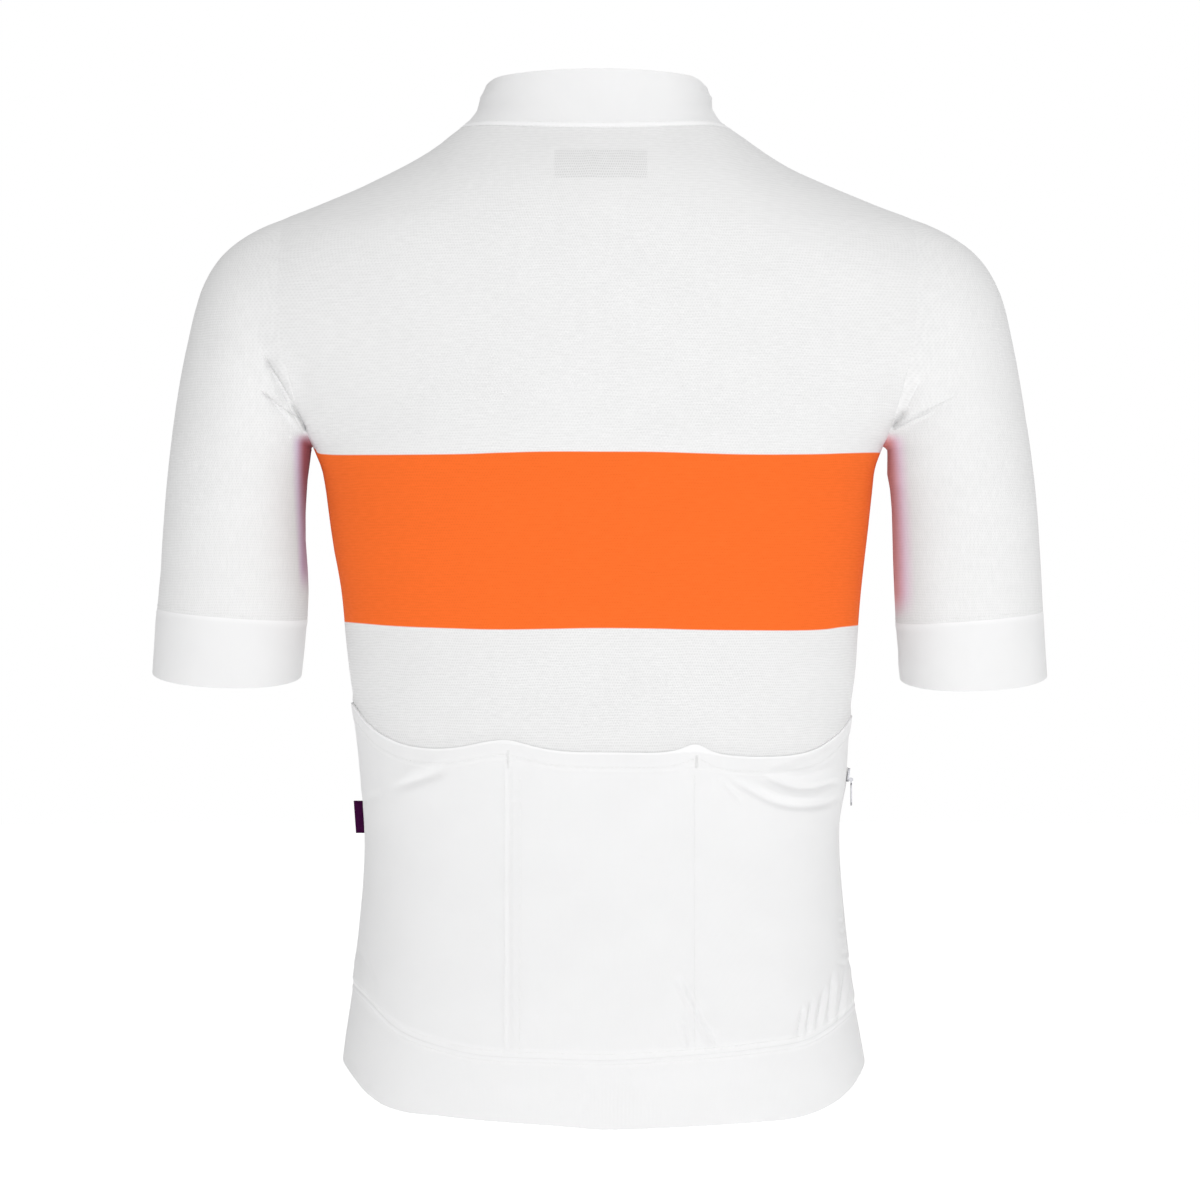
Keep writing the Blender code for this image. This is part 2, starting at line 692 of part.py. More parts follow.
def arm_ring(side, drop):
    extra = CUFF_EXTRA_DROP[side] * min(max((drop - EXTRA_DROP_START) / EXTRA_DROP_RUN, 0), 1)
    size = {name: ARM.read(drop, name) for name in ARM.columns}
    half = (size["outer"] - size["inner"]) / 2
    middle = (size["outer"] + size["inner"]) / 2
    power = 2 / RING_SQUARENESS
    ring = []
    for i in range(RING_POINTS):
        turn = 2 * math.pi * i / RING_POINTS
        cosine, sine = math.cos(turn), math.sin(turn)
        across = -math.copysign(abs(cosine) ** power, cosine)
        deep = -math.copysign(abs(sine) ** power, sine)
        depth = size["back"] if deep < 0 else size["front"]
        high = PIVOT_HEIGHT - drop - extra + size["tilt"] / 2 * across + size["dip"] * deep
        ring.append(np.array([side * (middle + half * across), size["lean"] + deep * depth, high]))
    return ring


def ring_normals(rings):
    """Ways out of the cloth from the neighbouring points on the rings."""
    rings = np.asarray(rings)
    count = len(rings)
    along = np.roll(rings, -1, axis=1) - np.roll(rings, 1, axis=1)
    down = np.empty_like(rings)
    for i in range(count):
        down[i] = rings[min(i + 1, count - 1)] - rings[max(i - 1, 0)]
    outward = np.cross(along, down)
    outward /= np.linalg.norm(outward, axis=2)[..., None]
    middle = rings.mean(axis=1, keepdims=True)
    flip = np.sign(np.sum(outward * (rings - middle), axis=(1, 2)))
    return outward * flip[:, None, None]


def build_sleeve_and_cuff(side, knit, band):
    rings = [head_ring(side, angle) for angle in HEAD_ANGLES]
    rings += [arm_ring(side, drop) for drop in SLEEVE_DROPS]
    seam_index = len(rings)
    rings.append(arm_ring(side, CUFF_SEAM_DROP))
    rings += [arm_ring(side, drop) for drop in CUFF_DROPS]
    outward = ring_normals(rings)
    for i in range(RING_POINTS):
        turn = i / (RING_POINTS / 2)
        depth_side = BACK if turn <= 1 else FRONT
        point, way_out = armhole_point(turn if turn <= 1 else 2 - turn, depth_side, side)
        rings[0][i] = point + np.array([side * SEAM_GAP, 0, 0])
        outward[0][i] = way_out
    rings = np.asarray(rings)
    shift = np.array([0, 0, SEAM_GAP])
    sleeve = rings[:seam_index + 1].copy()
    sleeve[-1] += shift
    cuff = rings[seam_index:].copy()
    cuff[0] -= shift
    word = side_name(side)
    wall("sleeve_" + word, sleeve, sleeve - KNIT * outward[:seam_index + 1], knit, tube=True)
    wall("cuff_" + word, cuff, cuff - DOUBLED * outward[seam_index:], band, tube=True)


# --------------------------------------------------------------------------
# Zips


TAPE_RECESS = 0.5
TAPE_CLOTH = 1.1
COIL_HALF = 2.4
COIL_PROUD = 0.9
MIDDLE_GAP = 0.2
COIL_FOOT = 0.3           # width of the slope from the coil down to the tape
FRONT_TAPE_LOWER_ROWS = 16
FRONT_TAPE_UPPER_LEVELS = (0.2, 0.4, 0.6, 0.8, 1.0, 1.25, 1.5, 1.75, 2.0, 2.3, 2.65, 3.0)


def front_tape_levels():
    lower = list(np.linspace(HEM_FRONT - UNDERARM_HEIGHT, 0, FRONT_TAPE_LOWER_ROWS))
    return lower + list(FRONT_TAPE_UPPER_LEVELS)


def build_front_tape(side, material):
    """One tape of the front zip with its half of the coil."""
    profile = ((MIDDLE_GAP, COIL_PROUD), (COIL_HALF, COIL_PROUD),
               (COIL_HALF + COIL_FOOT, -TAPE_RECESS), (ZIP_HALF - LAY_GAP, -TAPE_RECESS))
    outer, inner = [], []
    for level in front_tape_levels():
        outer_row, inner_row = [], []
        total = length(FRONT, side, level)
        for away, proud in profile:
            here, out = body_point(FRONT, side, level, total - away)
            out = np.array([0.0, out[1], out[2]]) / math.hypot(out[1], out[2])
            outer_row.append(here + proud * out)
            inner_row.append(here - (TAPE_RECESS + TAPE_CLOTH) * out)
        outer.append(outer_row)
        inner.append(inner_row)
    return wall("front_zip_tape_" + side_name(side), outer, inner, material)


SIDE_ZIP_TOP = -415.5
SIDE_ZIP_BOTTOM = -540.0
SIDE_ZIP_MIDDLE = 7.0     # distance of the zip's middle line from the side seam
SIDE_TAPE_HALF = 5.0
SIDE_TAPE_CLOTH = 0.8
SIDE_TAPE_BASE = LAY_GAP + 0.45   # the waist curves in under the tape
SIDE_COIL_PROUD = 0.7
SIDE_COIL_HALF = 1.6
SIDE_TAPE_ROWS = 10
SLIDER_SEAT = LAY_GAP + 0.1   # air between a coil and its slider
SLIDER_BELOW_TOP = 0.5        # the side slider's end sits this far below the tape's end
FRONT_SLIDER_LEVEL = 2.8


def side_zip_point(height, run_out, lift):
    here, out = body_point(FRONT, RIGHT, height - UNDERARM_HEIGHT, run_out)
    return here + lift * out


def build_side_tape(material):
    foot = SIDE_COIL_HALF + COIL_FOOT
    profile = ((-SIDE_TAPE_HALF, 0.0), (-foot, 0.0), (-SIDE_COIL_HALF, SIDE_COIL_PROUD),
               (SIDE_COIL_HALF, SIDE_COIL_PROUD), (foot, 0.0), (SIDE_TAPE_HALF, 0.0))
    outer, inner = [], []
    for height in np.linspace(SIDE_ZIP_BOTTOM, SIDE_ZIP_TOP, SIDE_TAPE_ROWS):
        outer_row, inner_row = [], []
        for across, proud in profile:
            run_out = SIDE_ZIP_MIDDLE + across
            top = SIDE_TAPE_BASE + SIDE_TAPE_CLOTH + proud
            inner_row.append(side_zip_point(height, run_out, SIDE_TAPE_BASE))
            outer_row.append(side_zip_point(height, run_out, top))
        outer.append(outer_row)
        inner.append(inner_row)
    return wall("side_zip_tape", outer, inner, material)


SLIDER_HALF = 3.4
SLIDER_LONG = 9.0
SLIDER_THICK = 1.2
PIN_HEIGHT = 2.8          # pin above the underside of the slider
FRONT_PIN_UP = 1.5        # pin above the middle of the slider
SIDE_PIN_UP = -2.8
PIN_RADIUS = 0.45
EYE_HOLE = 0.85
EYE_RADIUS = 1.3
EYE_HALF = 1.3
EAR_IN = 1.7
EAR_OUT = 2.6
EAR_HALF_LONG = 1.2
EAR_SINK = 0.4            # how far the ears and the pin run into what carries them
EAR_TOP = PIN_HEIGHT + 0.7
SLIDER_CORNER = 1.6
TAB_ROOT = 0.9            # where the tab starts inside the eye, below the pin
TAB_SHOULDER = 1.3        # height of the slope from the eye out to the tab's full width
TAB_END_STEPS = 8
TAB_THICK = 0.9
TAB_HALF = 2.4
TAB_NECK = 2.3
TAB_LONG = 17.0


def prism(name, outline, low, high, material=None):
    """Flat outline in the plane across and up, pushed from low to high along out."""
    work = bmesh.new()
    ring = [work.verts.new((across * MM, low * MM, up * MM)) for across, up in outline]
    face = work.faces.new(ring)
    pushed = bmesh.ops.extrude_face_region(work, geom=[face])
    moved = [item for item in pushed["geom"] if isinstance(item, bmesh.types.BMVert)]
    bmesh.ops.translate(work, verts=moved, vec=Vector((0, (high - low) * MM, 0)))
    bmesh.ops.recalc_face_normals(work, faces=work.faces)
    mesh = bpy.data.meshes.new(name)
    work.to_mesh(mesh)
    work.free()
    made = bpy.data.objects.new(name, mesh)
    bpy.context.scene.collection.objects.link(made)
    if material:
        mesh.materials.append(material)
    return made


def rod(name, radius, half_width, out, up, sides=12):
    """Round rod across the zip, at this height out of it and up it."""
    work = bmesh.new()
    turn = Matrix.Rotation(math.pi / 2, 4, "Y")
    place = Matrix.Translation(Vector((0, out * MM, up * MM)))
    bmesh.ops.create_cone(work, cap_ends=True, segments=sides, radius1=radius * MM,
                          radius2=radius * MM, depth=2 * half_width * MM, matrix=place @ turn)
    mesh = bpy.data.meshes.new(name)
    work.to_mesh(mesh)
    work.free()
    made = bpy.data.objects.new(name, mesh)
    bpy.context.scene.collection.objects.link(made)
    return made


def combine(target, helper, operation):
    """Boolean with a helper that stays hidden beside the piece."""
    change = target.modifiers.new(operation.lower(), "BOOLEAN")
    change.operation = operation
    change.solver = "EXACT"
    change.object = helper
    helper.hide_render = True
    helper.display_type = "WIRE"
    helper.parent = target


def rounded(half_width, half_long, corner, steps=4):
    """Outline of a plate with round corners, about its middle."""
    points = []
    wide, long = half_width - corner, half_long - corner
    for across, up, start in ((wide, long, 0), (-wide, long, 90), (-wide, -long, 180), (wide, -long, 270)):
        for i in range(steps + 1):
            angle = math.radians(start + 90 * i / steps)
            points.append((across + corner * math.cos(angle), up + corner * math.sin(angle)))
    return points


def build_slider(name, frame, pin_up, material):
    plate = prism(name, rounded(SLIDER_HALF, SLIDER_LONG / 2, SLIDER_CORNER),
                  0.0, SLIDER_THICK, material)
    for sign in (-1, 1):
        low, high = pin_up - EAR_HALF_LONG, pin_up + EAR_HALF_LONG
        ear_outline = ((sign * EAR_IN, low), (sign * EAR_OUT, low),
                       (sign * EAR_OUT, high), (sign * EAR_IN, high))
        ear = prism(name + "_ear" + ("_a" if sign < 0 else "_b"), ear_outline,
                    SLIDER_THICK - EAR_SINK, EAR_TOP)
        combine(plate, ear, "UNION")
    pin = rod(name + "_pin", PIN_RADIUS, EAR_IN + EAR_SINK, PIN_HEIGHT, pin_up)
    combine(plate, pin, "UNION")
    plate.matrix_world = frame
    return plate


def build_pull(name, pin_frame, material):
    """Tab that hangs from the pin; its origin is on the pin's axis."""
    eye = rod(name, EYE_RADIUS, EYE_HALF, 0.0, 0.0, sides=16)
    eye.data.materials.append(material)
    tab_outline = [(EYE_HALF, -TAB_ROOT), (-EYE_HALF, -TAB_ROOT), (-EYE_HALF, -TAB_NECK),
                   (-TAB_HALF, -TAB_NECK - TAB_SHOULDER)]
    for i in range(TAB_END_STEPS + 1):
        angle = math.pi * (1 + i / TAB_END_STEPS)
        tab_outline.append((TAB_HALF * math.cos(angle),
                            -TAB_LONG + TAB_HALF + TAB_HALF * math.sin(angle)))
    tab_outline += [(TAB_HALF, -TAB_NECK - TAB_SHOULDER), (EYE_HALF, -TAB_NECK)]
    tab = prism(name + "_tab", tab_outline, -TAB_THICK / 2, TAB_THICK / 2)
    combine(eye, tab, "UNION")
    hole = rod(name + "_hole", EYE_HOLE, EYE_HALF + 1.0, 0.0, 0.0, sides=16)
    combine(eye, hole, "DIFFERENCE")
    eye.matrix_world = pin_frame
    return eye


def zip_frame(place, across, out, up):
    """World frame for zip hardware: local X across, Y out, Z up the zip."""
    frame = Matrix((across, out, up)).transposed().to_4x4()
    frame.translation = Vector(place) * MM
    return frame


def build_side_zip(tape_cloth, metal):
    build_side_tape(tape_cloth)
    lift = SIDE_TAPE_BASE + SIDE_TAPE_CLOTH + SIDE_COIL_PROUD + SLIDER_SEAT
    height = SIDE_ZIP_TOP - SLIDER_LONG / 2 - SLIDER_BELOW_TOP
    seat = side_zip_point(height, SIDE_ZIP_MIDDLE, lift)
    above = side_zip_point(height + SLIDER_LONG, SIDE_ZIP_MIDDLE, lift)
    below = side_zip_point(height - SLIDER_LONG, SIDE_ZIP_MIDDLE, lift)
    up = Vector(above - below)
    up.y = 0
    up.normalize()
    across = Vector((0, -1, 0))
    out = up.cross(across)
    place_zip_hardware("side_zip", seat, (across, out, up), SIDE_PIN_UP, metal)


def build_front_zip(tape_cloth, metal):
    for side in (LEFT, RIGHT):
        build_front_tape(side, tape_cloth)
    middle = length(FRONT, LEFT, FRONT_SLIDER_LEVEL)
    top, _ = body_point(FRONT, LEFT, FRONT_SLIDER_LEVEL, middle)
    seat = top + (COIL_PROUD + SLIDER_SEAT) * np.array([0, 1, 0])
    ways = (Vector((-1, 0, 0)), Vector((0, 1, 0)), Vector((0, 0, 1)))
    place_zip_hardware("front_zip", seat, ways, FRONT_PIN_UP, metal)


def place_zip_hardware(name, seat, ways, pin_up, metal):
    """Slider and pull; ways are across the zip, out of it and up it."""
    across, out, up = ways
    build_slider(name + "_slider", zip_frame(seat, across, out, up), pin_up, metal)
    pin = Vector(seat) + out * PIN_HEIGHT + up * pin_up
    hang_up = Vector((0, 0, 1))
    hang_out = hang_up.cross(across)
    build_pull(name + "_pull", zip_frame(pin, across, hang_out, hang_up), metal)


# --------------------------------------------------------------------------
# Labels


SIDE_LABEL_TOP = -437.5
SIDE_LABEL_BOTTOM = -458.5
SIDE_LABEL_OUT = 7.0
SIDE_LABEL_THICK = 1.2
SIDE_LABEL_SEAT = LAY_GAP + 0.1
SIDE_LABEL_FORWARD = 0.4      # the label stands just in front of the side seam
NECK_LABEL_HALF = 30.0
NECK_LABEL_CLOTH = 0.8
NECK_LABEL_GAP = 0.5
NECK_LABEL_LEVELS = (1.36, 1.49, 1.62, 1.76)


def build_side_label(material):
    """Folded label that stands out of the left side seam."""
    outer, inner = [], []
    for height in (SIDE_LABEL_BOTTOM, SIDE_LABEL_TOP):
        here, _ = body_point(FRONT, LEFT, height - UNDERARM_HEIGHT, SIDE_LABEL_THICK)
        root = here[0] - SIDE_LABEL_SEAT
        row = [np.array([root - away, SIDE_LABEL_FORWARD, height])
               for away in (SIDE_LABEL_OUT, SIDE_LABEL_OUT / 2, 0.0)]
        outer.append(row)
        inner.append([point + np.array([0, SIDE_LABEL_THICK, 0]) for point in row])
    return wall("side_label", outer, inner, material)


def build_neck_label(material):
    """Plain label that lies against the inside of the back below the collar."""
    outer, inner = [], []
    for level in NECK_LABEL_LEVELS:
        outer_row, inner_row = [], []
        for away in np.linspace(-NECK_LABEL_HALF, NECK_LABEL_HALF, 5):
            side = LEFT if away < 0 else RIGHT
            total = length(BACK, side, level)
            here, out = body_point(BACK, side, level, total - abs(away))
            outer_row.append(here - (KNIT + NECK_LABEL_GAP) * out)
            inner_row.append(here - (KNIT + NECK_LABEL_GAP + NECK_LABEL_CLOTH) * out)
        outer.append(outer_row)
        inner.append(inner_row)
    return wall("neck_label", outer, inner, material)


def main():
    for item in list(bpy.data.objects):
        bpy.data.objects.remove(item, do_unlink=True)
    knit = finish("white_knit", (0.86, 0.86, 0.86), 0.85)
    smooth = finish("smooth_white", (0.9, 0.9, 0.9), 0.7)
    tape = finish("zip_tape", (0.85, 0.85, 0.85), 0.8)
    metal = finish("zip_metal", (0.75, 0.75, 0.77), 0.3, 1.0)
    purple = finish("purple_label", (0.05, 0.005, 0.05), 0.7)
    label = finish("neck_label", (0.6, 0.6, 0.62), 0.6)
    build_back(knit)
    for side in (LEFT, RIGHT):
        build_front(side, knit)
        build_sleeve_and_cuff(side, knit, smooth)
    build_collar(smooth)
    build_hem_band(smooth)
    build_pocket_panel(smooth)
    build_front_zip(tape, metal)
    build_side_zip(tape, metal)
    build_side_label(purple)
    build_neck_label(label)


main()
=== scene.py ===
"""Dressed short-sleeved cycling jersey, in its worn shape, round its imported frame.

Lengths in the classes are in millimetres, and MM turns them into metres where a mesh is
made. +Z is up, the back of the jersey faces -Y and the wearer's right side is +X.
"""

import logging
import math
from dataclasses import dataclass, field
from enum import Enum
from typing import Callable, Sequence

import bmesh
import bpy
import numpy as np
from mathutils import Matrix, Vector
from mathutils.bvhtree import BVHTree


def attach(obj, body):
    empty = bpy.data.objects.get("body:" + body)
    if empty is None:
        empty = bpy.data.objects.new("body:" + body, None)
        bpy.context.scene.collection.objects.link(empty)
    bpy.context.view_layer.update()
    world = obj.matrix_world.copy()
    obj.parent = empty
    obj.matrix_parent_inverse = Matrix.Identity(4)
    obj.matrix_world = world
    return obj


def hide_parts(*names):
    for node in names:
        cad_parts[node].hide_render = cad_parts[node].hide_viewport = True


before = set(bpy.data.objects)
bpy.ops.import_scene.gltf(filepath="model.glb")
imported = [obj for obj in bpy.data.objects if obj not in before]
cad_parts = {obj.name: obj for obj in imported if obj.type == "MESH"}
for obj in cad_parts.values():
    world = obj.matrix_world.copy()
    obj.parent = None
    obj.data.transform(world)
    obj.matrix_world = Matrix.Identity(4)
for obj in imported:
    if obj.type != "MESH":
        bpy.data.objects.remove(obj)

LOG = logging.getLogger("jersey")
MM = 0.001
WEAVE_MAP = "weave"
DOUBLED_HIGHLIGHT_MAP = "seam"

Colour = tuple[float, float, float]
Point2 = tuple[float, float]
Socket = bpy.types.NodeSocket
Steps = tuple[np.ndarray, np.ndarray, np.ndarray]
Hit = tuple[Vector, Vector]


class Body(Enum):
    """Body of the frame that pieces ride on."""

    JERSEY = "jersey"


class Slot(Enum):
    """Material slots."""

    KNIT = "knit"
    SMOOTH = "smooth_cloth"
    TAPE = "zip_tape"
    SIDE_LABEL = "side_label"
    NECK_LABEL = "neck_label"


class Hold(Enum):
    """How a sheet of cloth is held."""

    HUNG = "hung"
    STRETCHED = "stretched"
    FOLDED = "folded"


class Half(Enum):
    """Half of a tube of cloth, seen from behind or from the front."""

    BACK = -1
    FRONT = 1


# --------------------------------------------------------------------------
# Finishes


class Value:
    """What a node gives. Each sign between two values is one Math node."""

    def __init__(self, recipe: "Recipe", socket: Socket) -> None:
        """Hold one output of a node."""
        self.recipe = recipe
        self.socket = socket

    def apply(self, operation: str, other: "Value | float" = 0.0) -> "Value":
        """Math node with this value as its first input."""
        return self.recipe.node("Math", self, other, operation=operation)

    def __add__(self, other: "Value | float") -> "Value":
        """Sum of the two."""
        return self.apply("ADD", other)

    def __sub__(self, other: "Value | float") -> "Value":
        """This less the other."""
        return self.apply("SUBTRACT", other)

    def __rsub__(self, other: float) -> "Value":
        """The other less this."""
        return self.recipe.node("Math", other, self, operation="SUBTRACT")

    def __mul__(self, other: "Value | float") -> "Value":
        """Product of the two."""
        return self.apply("MULTIPLY", other)

    def __truediv__(self, other: "Value | float") -> "Value":
        """This divided by the other."""
        return self.apply("DIVIDE", other)

    def wave(self, length: float) -> "Value":
        """Sine wave of this length."""
        return (self * (2 * math.pi / length)).apply("SINE")

    def step(self, low: float, high: float, start: float = 0.0, end: float = 1.0) -> "Value":
        """Soft step from start, where this is low, to end, where it is high."""
        return self.recipe.node("MapRange", self, low, high, start, end,
                                interpolation_type="SMOOTHSTEP")


class Recipe:
    """A material's nodes, laid down one after the other."""

    def __init__(self, name: str) -> None:
        """Start from a plain Principled shader."""
        self.material = bpy.data.materials.new(name)
        self.material.use_nodes = True
        self.tree = self.material.node_tree
        self.shader = self.tree.nodes["Principled BSDF"]

    def feed(self, socket: Socket, given: object) -> None:
        """Link or set one input.

        Args:
            socket: The input.
            given: A value to link, or a number or colour to set.
        """
        if isinstance(given, Value):
            self.tree.links.new(given.socket, socket)
        elif isinstance(given, tuple) and socket.type == "RGBA":
            socket.default_value = (*given, 1.0)
        else:
            socket.default_value = given

    def node(self, kind: str, *inputs: object, output: int | str = 0,
             named: dict[str, object] | None = None, **settings: object) -> Value:
        """Lay down one node.

        Args:
            kind: Type of the node, without ShaderNode.
            inputs: What its first inputs get.
            output: The output that is used.
            named: What other inputs get, by name.
            settings: The node's own settings.

        Returns:
            That output.
        """
        made = self.tree.nodes.new("ShaderNode" + kind)
        for name, setting in settings.items():
            setattr(made, name, setting)
        for socket, given in zip(made.inputs, inputs):
            self.feed(socket, given)
        for name, given in (named or {}).items():
            self.feed(made.inputs[name], given)
        return Value(self, made.outputs[output])

    def mix(self, share: Value, first: object, second: object) -> Value:
        """Mix of two colours.

        Args:
            share: Share of the second colour.
            first: Colour or value.
            second: Colour or value.

        Returns:
            The mixed colour.
        """
        made = self.tree.nodes.new("ShaderNodeMix")
        made.data_type = "RGBA"
        for index, given in ((0, share), (6, first), (7, second)):
            self.feed(made.inputs[index], given)
        return Value(self, made.outputs[2])

    def dim(self, colour: object, share: Value | float) -> Value:
        """Colour, or any three numbers, times one number."""
        return self.node("VectorMath", colour, named={"Scale": share}, operation="SCALE")

    def place(self, woven: bool) -> tuple[Value, ...]:
        """Where a point is, in millimetres.

        Args:
            woven: True for the cloth's own map, False for the object's axes.

        Returns:
            Three values: across, up (woven) or depth, and height.
        """
        if woven:
            source = self.node("UVMap", uv_map=WEAVE_MAP)
        else:
            source = self.node("TexCoord", output="Object")
        split = self.node("SeparateXYZ", self.dim(source, 1 / MM))
        return tuple(Value(self, part) for part in split.socket.node.outputs)

    def curve(self, value: Value, points: Sequence[Point2], span: float) -> Value:
        """Smooth curve through a few points.

        Args:
            value: What is looked up, from -span to span.
            points: The points, each a value and a result, from the lowest value up.
            span: Half the width of the curve.

        Returns:
            The result.
        """
        results = [point[1] for point in points]
        low, high = min(results) - 1.0, max(results) + 1.0
        found = self.node("FloatCurve", named={"Value": value * (0.5 / span) + 0.5})
        mapping = found.socket.node.mapping
        mapping.extend = "HORIZONTAL"
        line = mapping.curves[0]
        for spot, (at, result) in zip((line.points[0], line.points[1]), (points[0], points[-1])):
            spot.location = (0.5 + 0.5 * at / span, (result - low) / (high - low))
        for at, result in points[1:-1]:
            line.points.new(0.5 + 0.5 * at / span, (result - low) / (high - low))
        mapping.update()
        return found * (high - low) + low

    def blots(self, *sizes: float, detail: float = 2.0) -> Value:
        """Even noise about 0.5.

        Args:
            sizes: Size of a blot along each axis: two on the cloth's map, three on the object's axes.
            detail: Number of finer layers.

        Returns:
            The noise.
        """
        places = self.place(len(sizes) == 2)
        spot = self.node("CombineXYZ", *(place / size for place, size in zip(places, sizes)))
        return self.node("TexNoise", spot, named={"Scale": 1.0, "Detail": detail})

    def bump(self, height: Value, depth: float, under: Value | None = None,
             strength: float = 1.0) -> Value:
        """Bump from a height between 0 and 1.

        Args:
            height: The height.
            depth: Depth of a full step, in millimetres.
            under: Normal that the bump stands on.
            strength: Strength of the bump.

        Returns:
            The normal.
        """
        named = {"Strength": strength, "Distance": depth * MM, "Height": height}
        if under is not None:
            named["Normal"] = under
        return self.node("Bump", named=named)

    def close(self, colour: object, roughness: object, normal: Value | None,
              **fixed: float) -> bpy.types.Material:
        """Feed the shader.

        Args:
            colour: Colour or value.
            roughness: Number or value.
            normal: The bumped normal, or None.
            fixed: Numbers set on the shader's own sockets, by name with _ for a space.

        Returns:
            The finished material.
        """
        self.feed(self.shader.inputs["Base Color"], colour)
        self.feed(self.shader.inputs["Roughness"], roughness)
        if normal is not None:
            self.feed(self.shader.inputs["Normal"], normal)
        for name, number in fixed.items():
            self.shader.inputs[name.replace("_", " ")].default_value = number
        return self.material


@dataclass(frozen=True)
class Band:
    """Printed band that goes round the chest.

    Attributes:
        colour: Colour of the print.
        top: Points of its upper edge, across and height.
        bottom: Points of its lower edge.
        reach: Half breadth of the body.
        edge: Half width of the soft line at its edges.
        bounced: Colour of the light that it throws on its neighbours.
    """

    colour: Colour = (0.93, 0.155, 0.022)
    top: tuple[Point2, ...] = (
        (-184.0, -209.0), (-178.0, -213.2), (-155.0, -214.6), (-95.0, -215.0), (-60.0, -214.1),
        (-30.0, -213.5), (0.0, -213.6), (32.0, -213.7), (63.0, -214.5), (95.0, -215.1),
        (128.0, -214.7), (155.0, -213.5), (184.0, -211.6))
    bottom: tuple[Point2, ...] = (
        (-175.0, -320.5), (-155.0, -321.9), (-128.0, -323.8), (-95.0, -325.0), (-63.0, -325.7),
        (-31.0, -325.3), (0.0, -324.8), (31.0, -325.1), (63.0, -325.9), (95.0, -326.3),
        (128.0, -326.4), (155.0, -324.4), (175.0, -322.6))
    reach: float = 190.0
    edge: float = 0.45
    bounced: Colour = (0.72, 0.65, 0.63)

    def lay(self, recipe: Recipe, cloth: object) -> Value:
        """Cloth colour with the band laid over it.

        Args:
            recipe: The material that gets the nodes.
            cloth: Colour of the cloth.

        Returns:
            The colour. Light that the band throws on its neighbours is paler.
        """
        across, _, height = recipe.place(False)
        below = (recipe.curve(across, self.top, self.reach) - height).step(-self.edge, self.edge)
        above = (height - recipe.curve(across, self.bottom, self.reach)).step(-self.edge, self.edge)
        thrown = recipe.node("LightPath", output="Is Diffuse Ray")
        return recipe.mix(below * above, cloth, recipe.mix(thrown, self.colour, self.bounced))


@dataclass(frozen=True)
class Patch:
    """Box on the back of the cloth where something behind it shows through."""

    left: float = -29.0
    right: float = 30.0
    low: float = -39.5
    high: float = -20.5
    edge: float = 0.8
    deep: Point2 = (-40.0, -30.0)

    def mask(self, recipe: Recipe) -> Value:
        """Share of the patch at a point.

        Args:
            recipe: The material that gets the nodes.

        Returns:
            A value that is 1 inside the patch.
        """
        across, deep, height = recipe.place(False)
        soft = self.edge
        return (across.step(self.left - soft, self.left + soft)
                * across.step(self.right - soft, self.right + soft, 1.0, 0.0)
                * height.step(self.low - soft, self.low + soft)
                * height.step(self.high - soft, self.high + soft, 1.0, 0.0)
                * deep.step(*self.deep, 1.0, 0.0))


@dataclass(frozen=True)
class PaintedBounce:
    """Painted light along the inner edge of a sleeve, beside the band: painted orange bounce light from the
    band, darkened by painted shade at the edge.

    Attributes:
        side: -1 for the left sleeve, 1 for the right one.
        edge: Distance of the sleeve's inner edge from the middle, at its low end.
        bow: How much nearer to the middle that edge is at its high end.
        wide_high: Width of the painted light at its high end.
        wide_low: Width at its low end.
        deep: Colour at the edge: painted bounce light of the band, darkened by painted shade.
        pale: Colour of its fringe: paler painted bounce light.
        deep_low: Share of the deep colour that is left at the low end.
        low: Height of the low end.
        high: Height of the high end.
        fade_low: Height over which the low end dies away.
        fade_high: Height over which the high end dies away.
    """

    side: float
    edge: float
    bow: float
    wide_high: float
    wide_low: float
    deep: Colour
    pale: Colour
    deep_low: float
    low: float = -305.0
    high: float = -198.0
    fade_low: float = 22.0
    fade_high: float = 9.0

    def paint_bounce(self, recipe: Recipe, cloth: object) -> Value:
        """Cloth colour with the painted bounce light and painted shade laid over it.

        Args:
            recipe: The material that gets the nodes.
            cloth: Colour of the cloth.

        Returns:
            The colour with painted light and shade.
        """
        across, _, height = recipe.place(False)
        up = (height - self.low) / (self.high - self.low)
        bow = up.apply("MAXIMUM", 0.0).apply("POWER", 2.0) * self.bow
        wide = up.step(0.0, 1.0, self.wide_low, self.wide_high)
        share = (across * self.side + bow - self.edge) / wide
        ends = (height.step(self.low, self.low + self.fade_low)
                * height.step(self.high - self.fade_high, self.high, 1.0, 0.0))
        # Painted light: a fringe of paler painted bounce light, and a core of deeper bounce light and painted
        # shade at the sleeve's edge.
        fringe = share.step(0.6, 1.7, 1.0, 0.0) * ends
        core = share.step(0.2, 1.1, 1.0, 0.0) * ends * up.step(0.1, 0.8, self.deep_low, 1.0)
        return recipe.mix(core, recipe.mix(fringe, cloth, self.pale), self.deep)


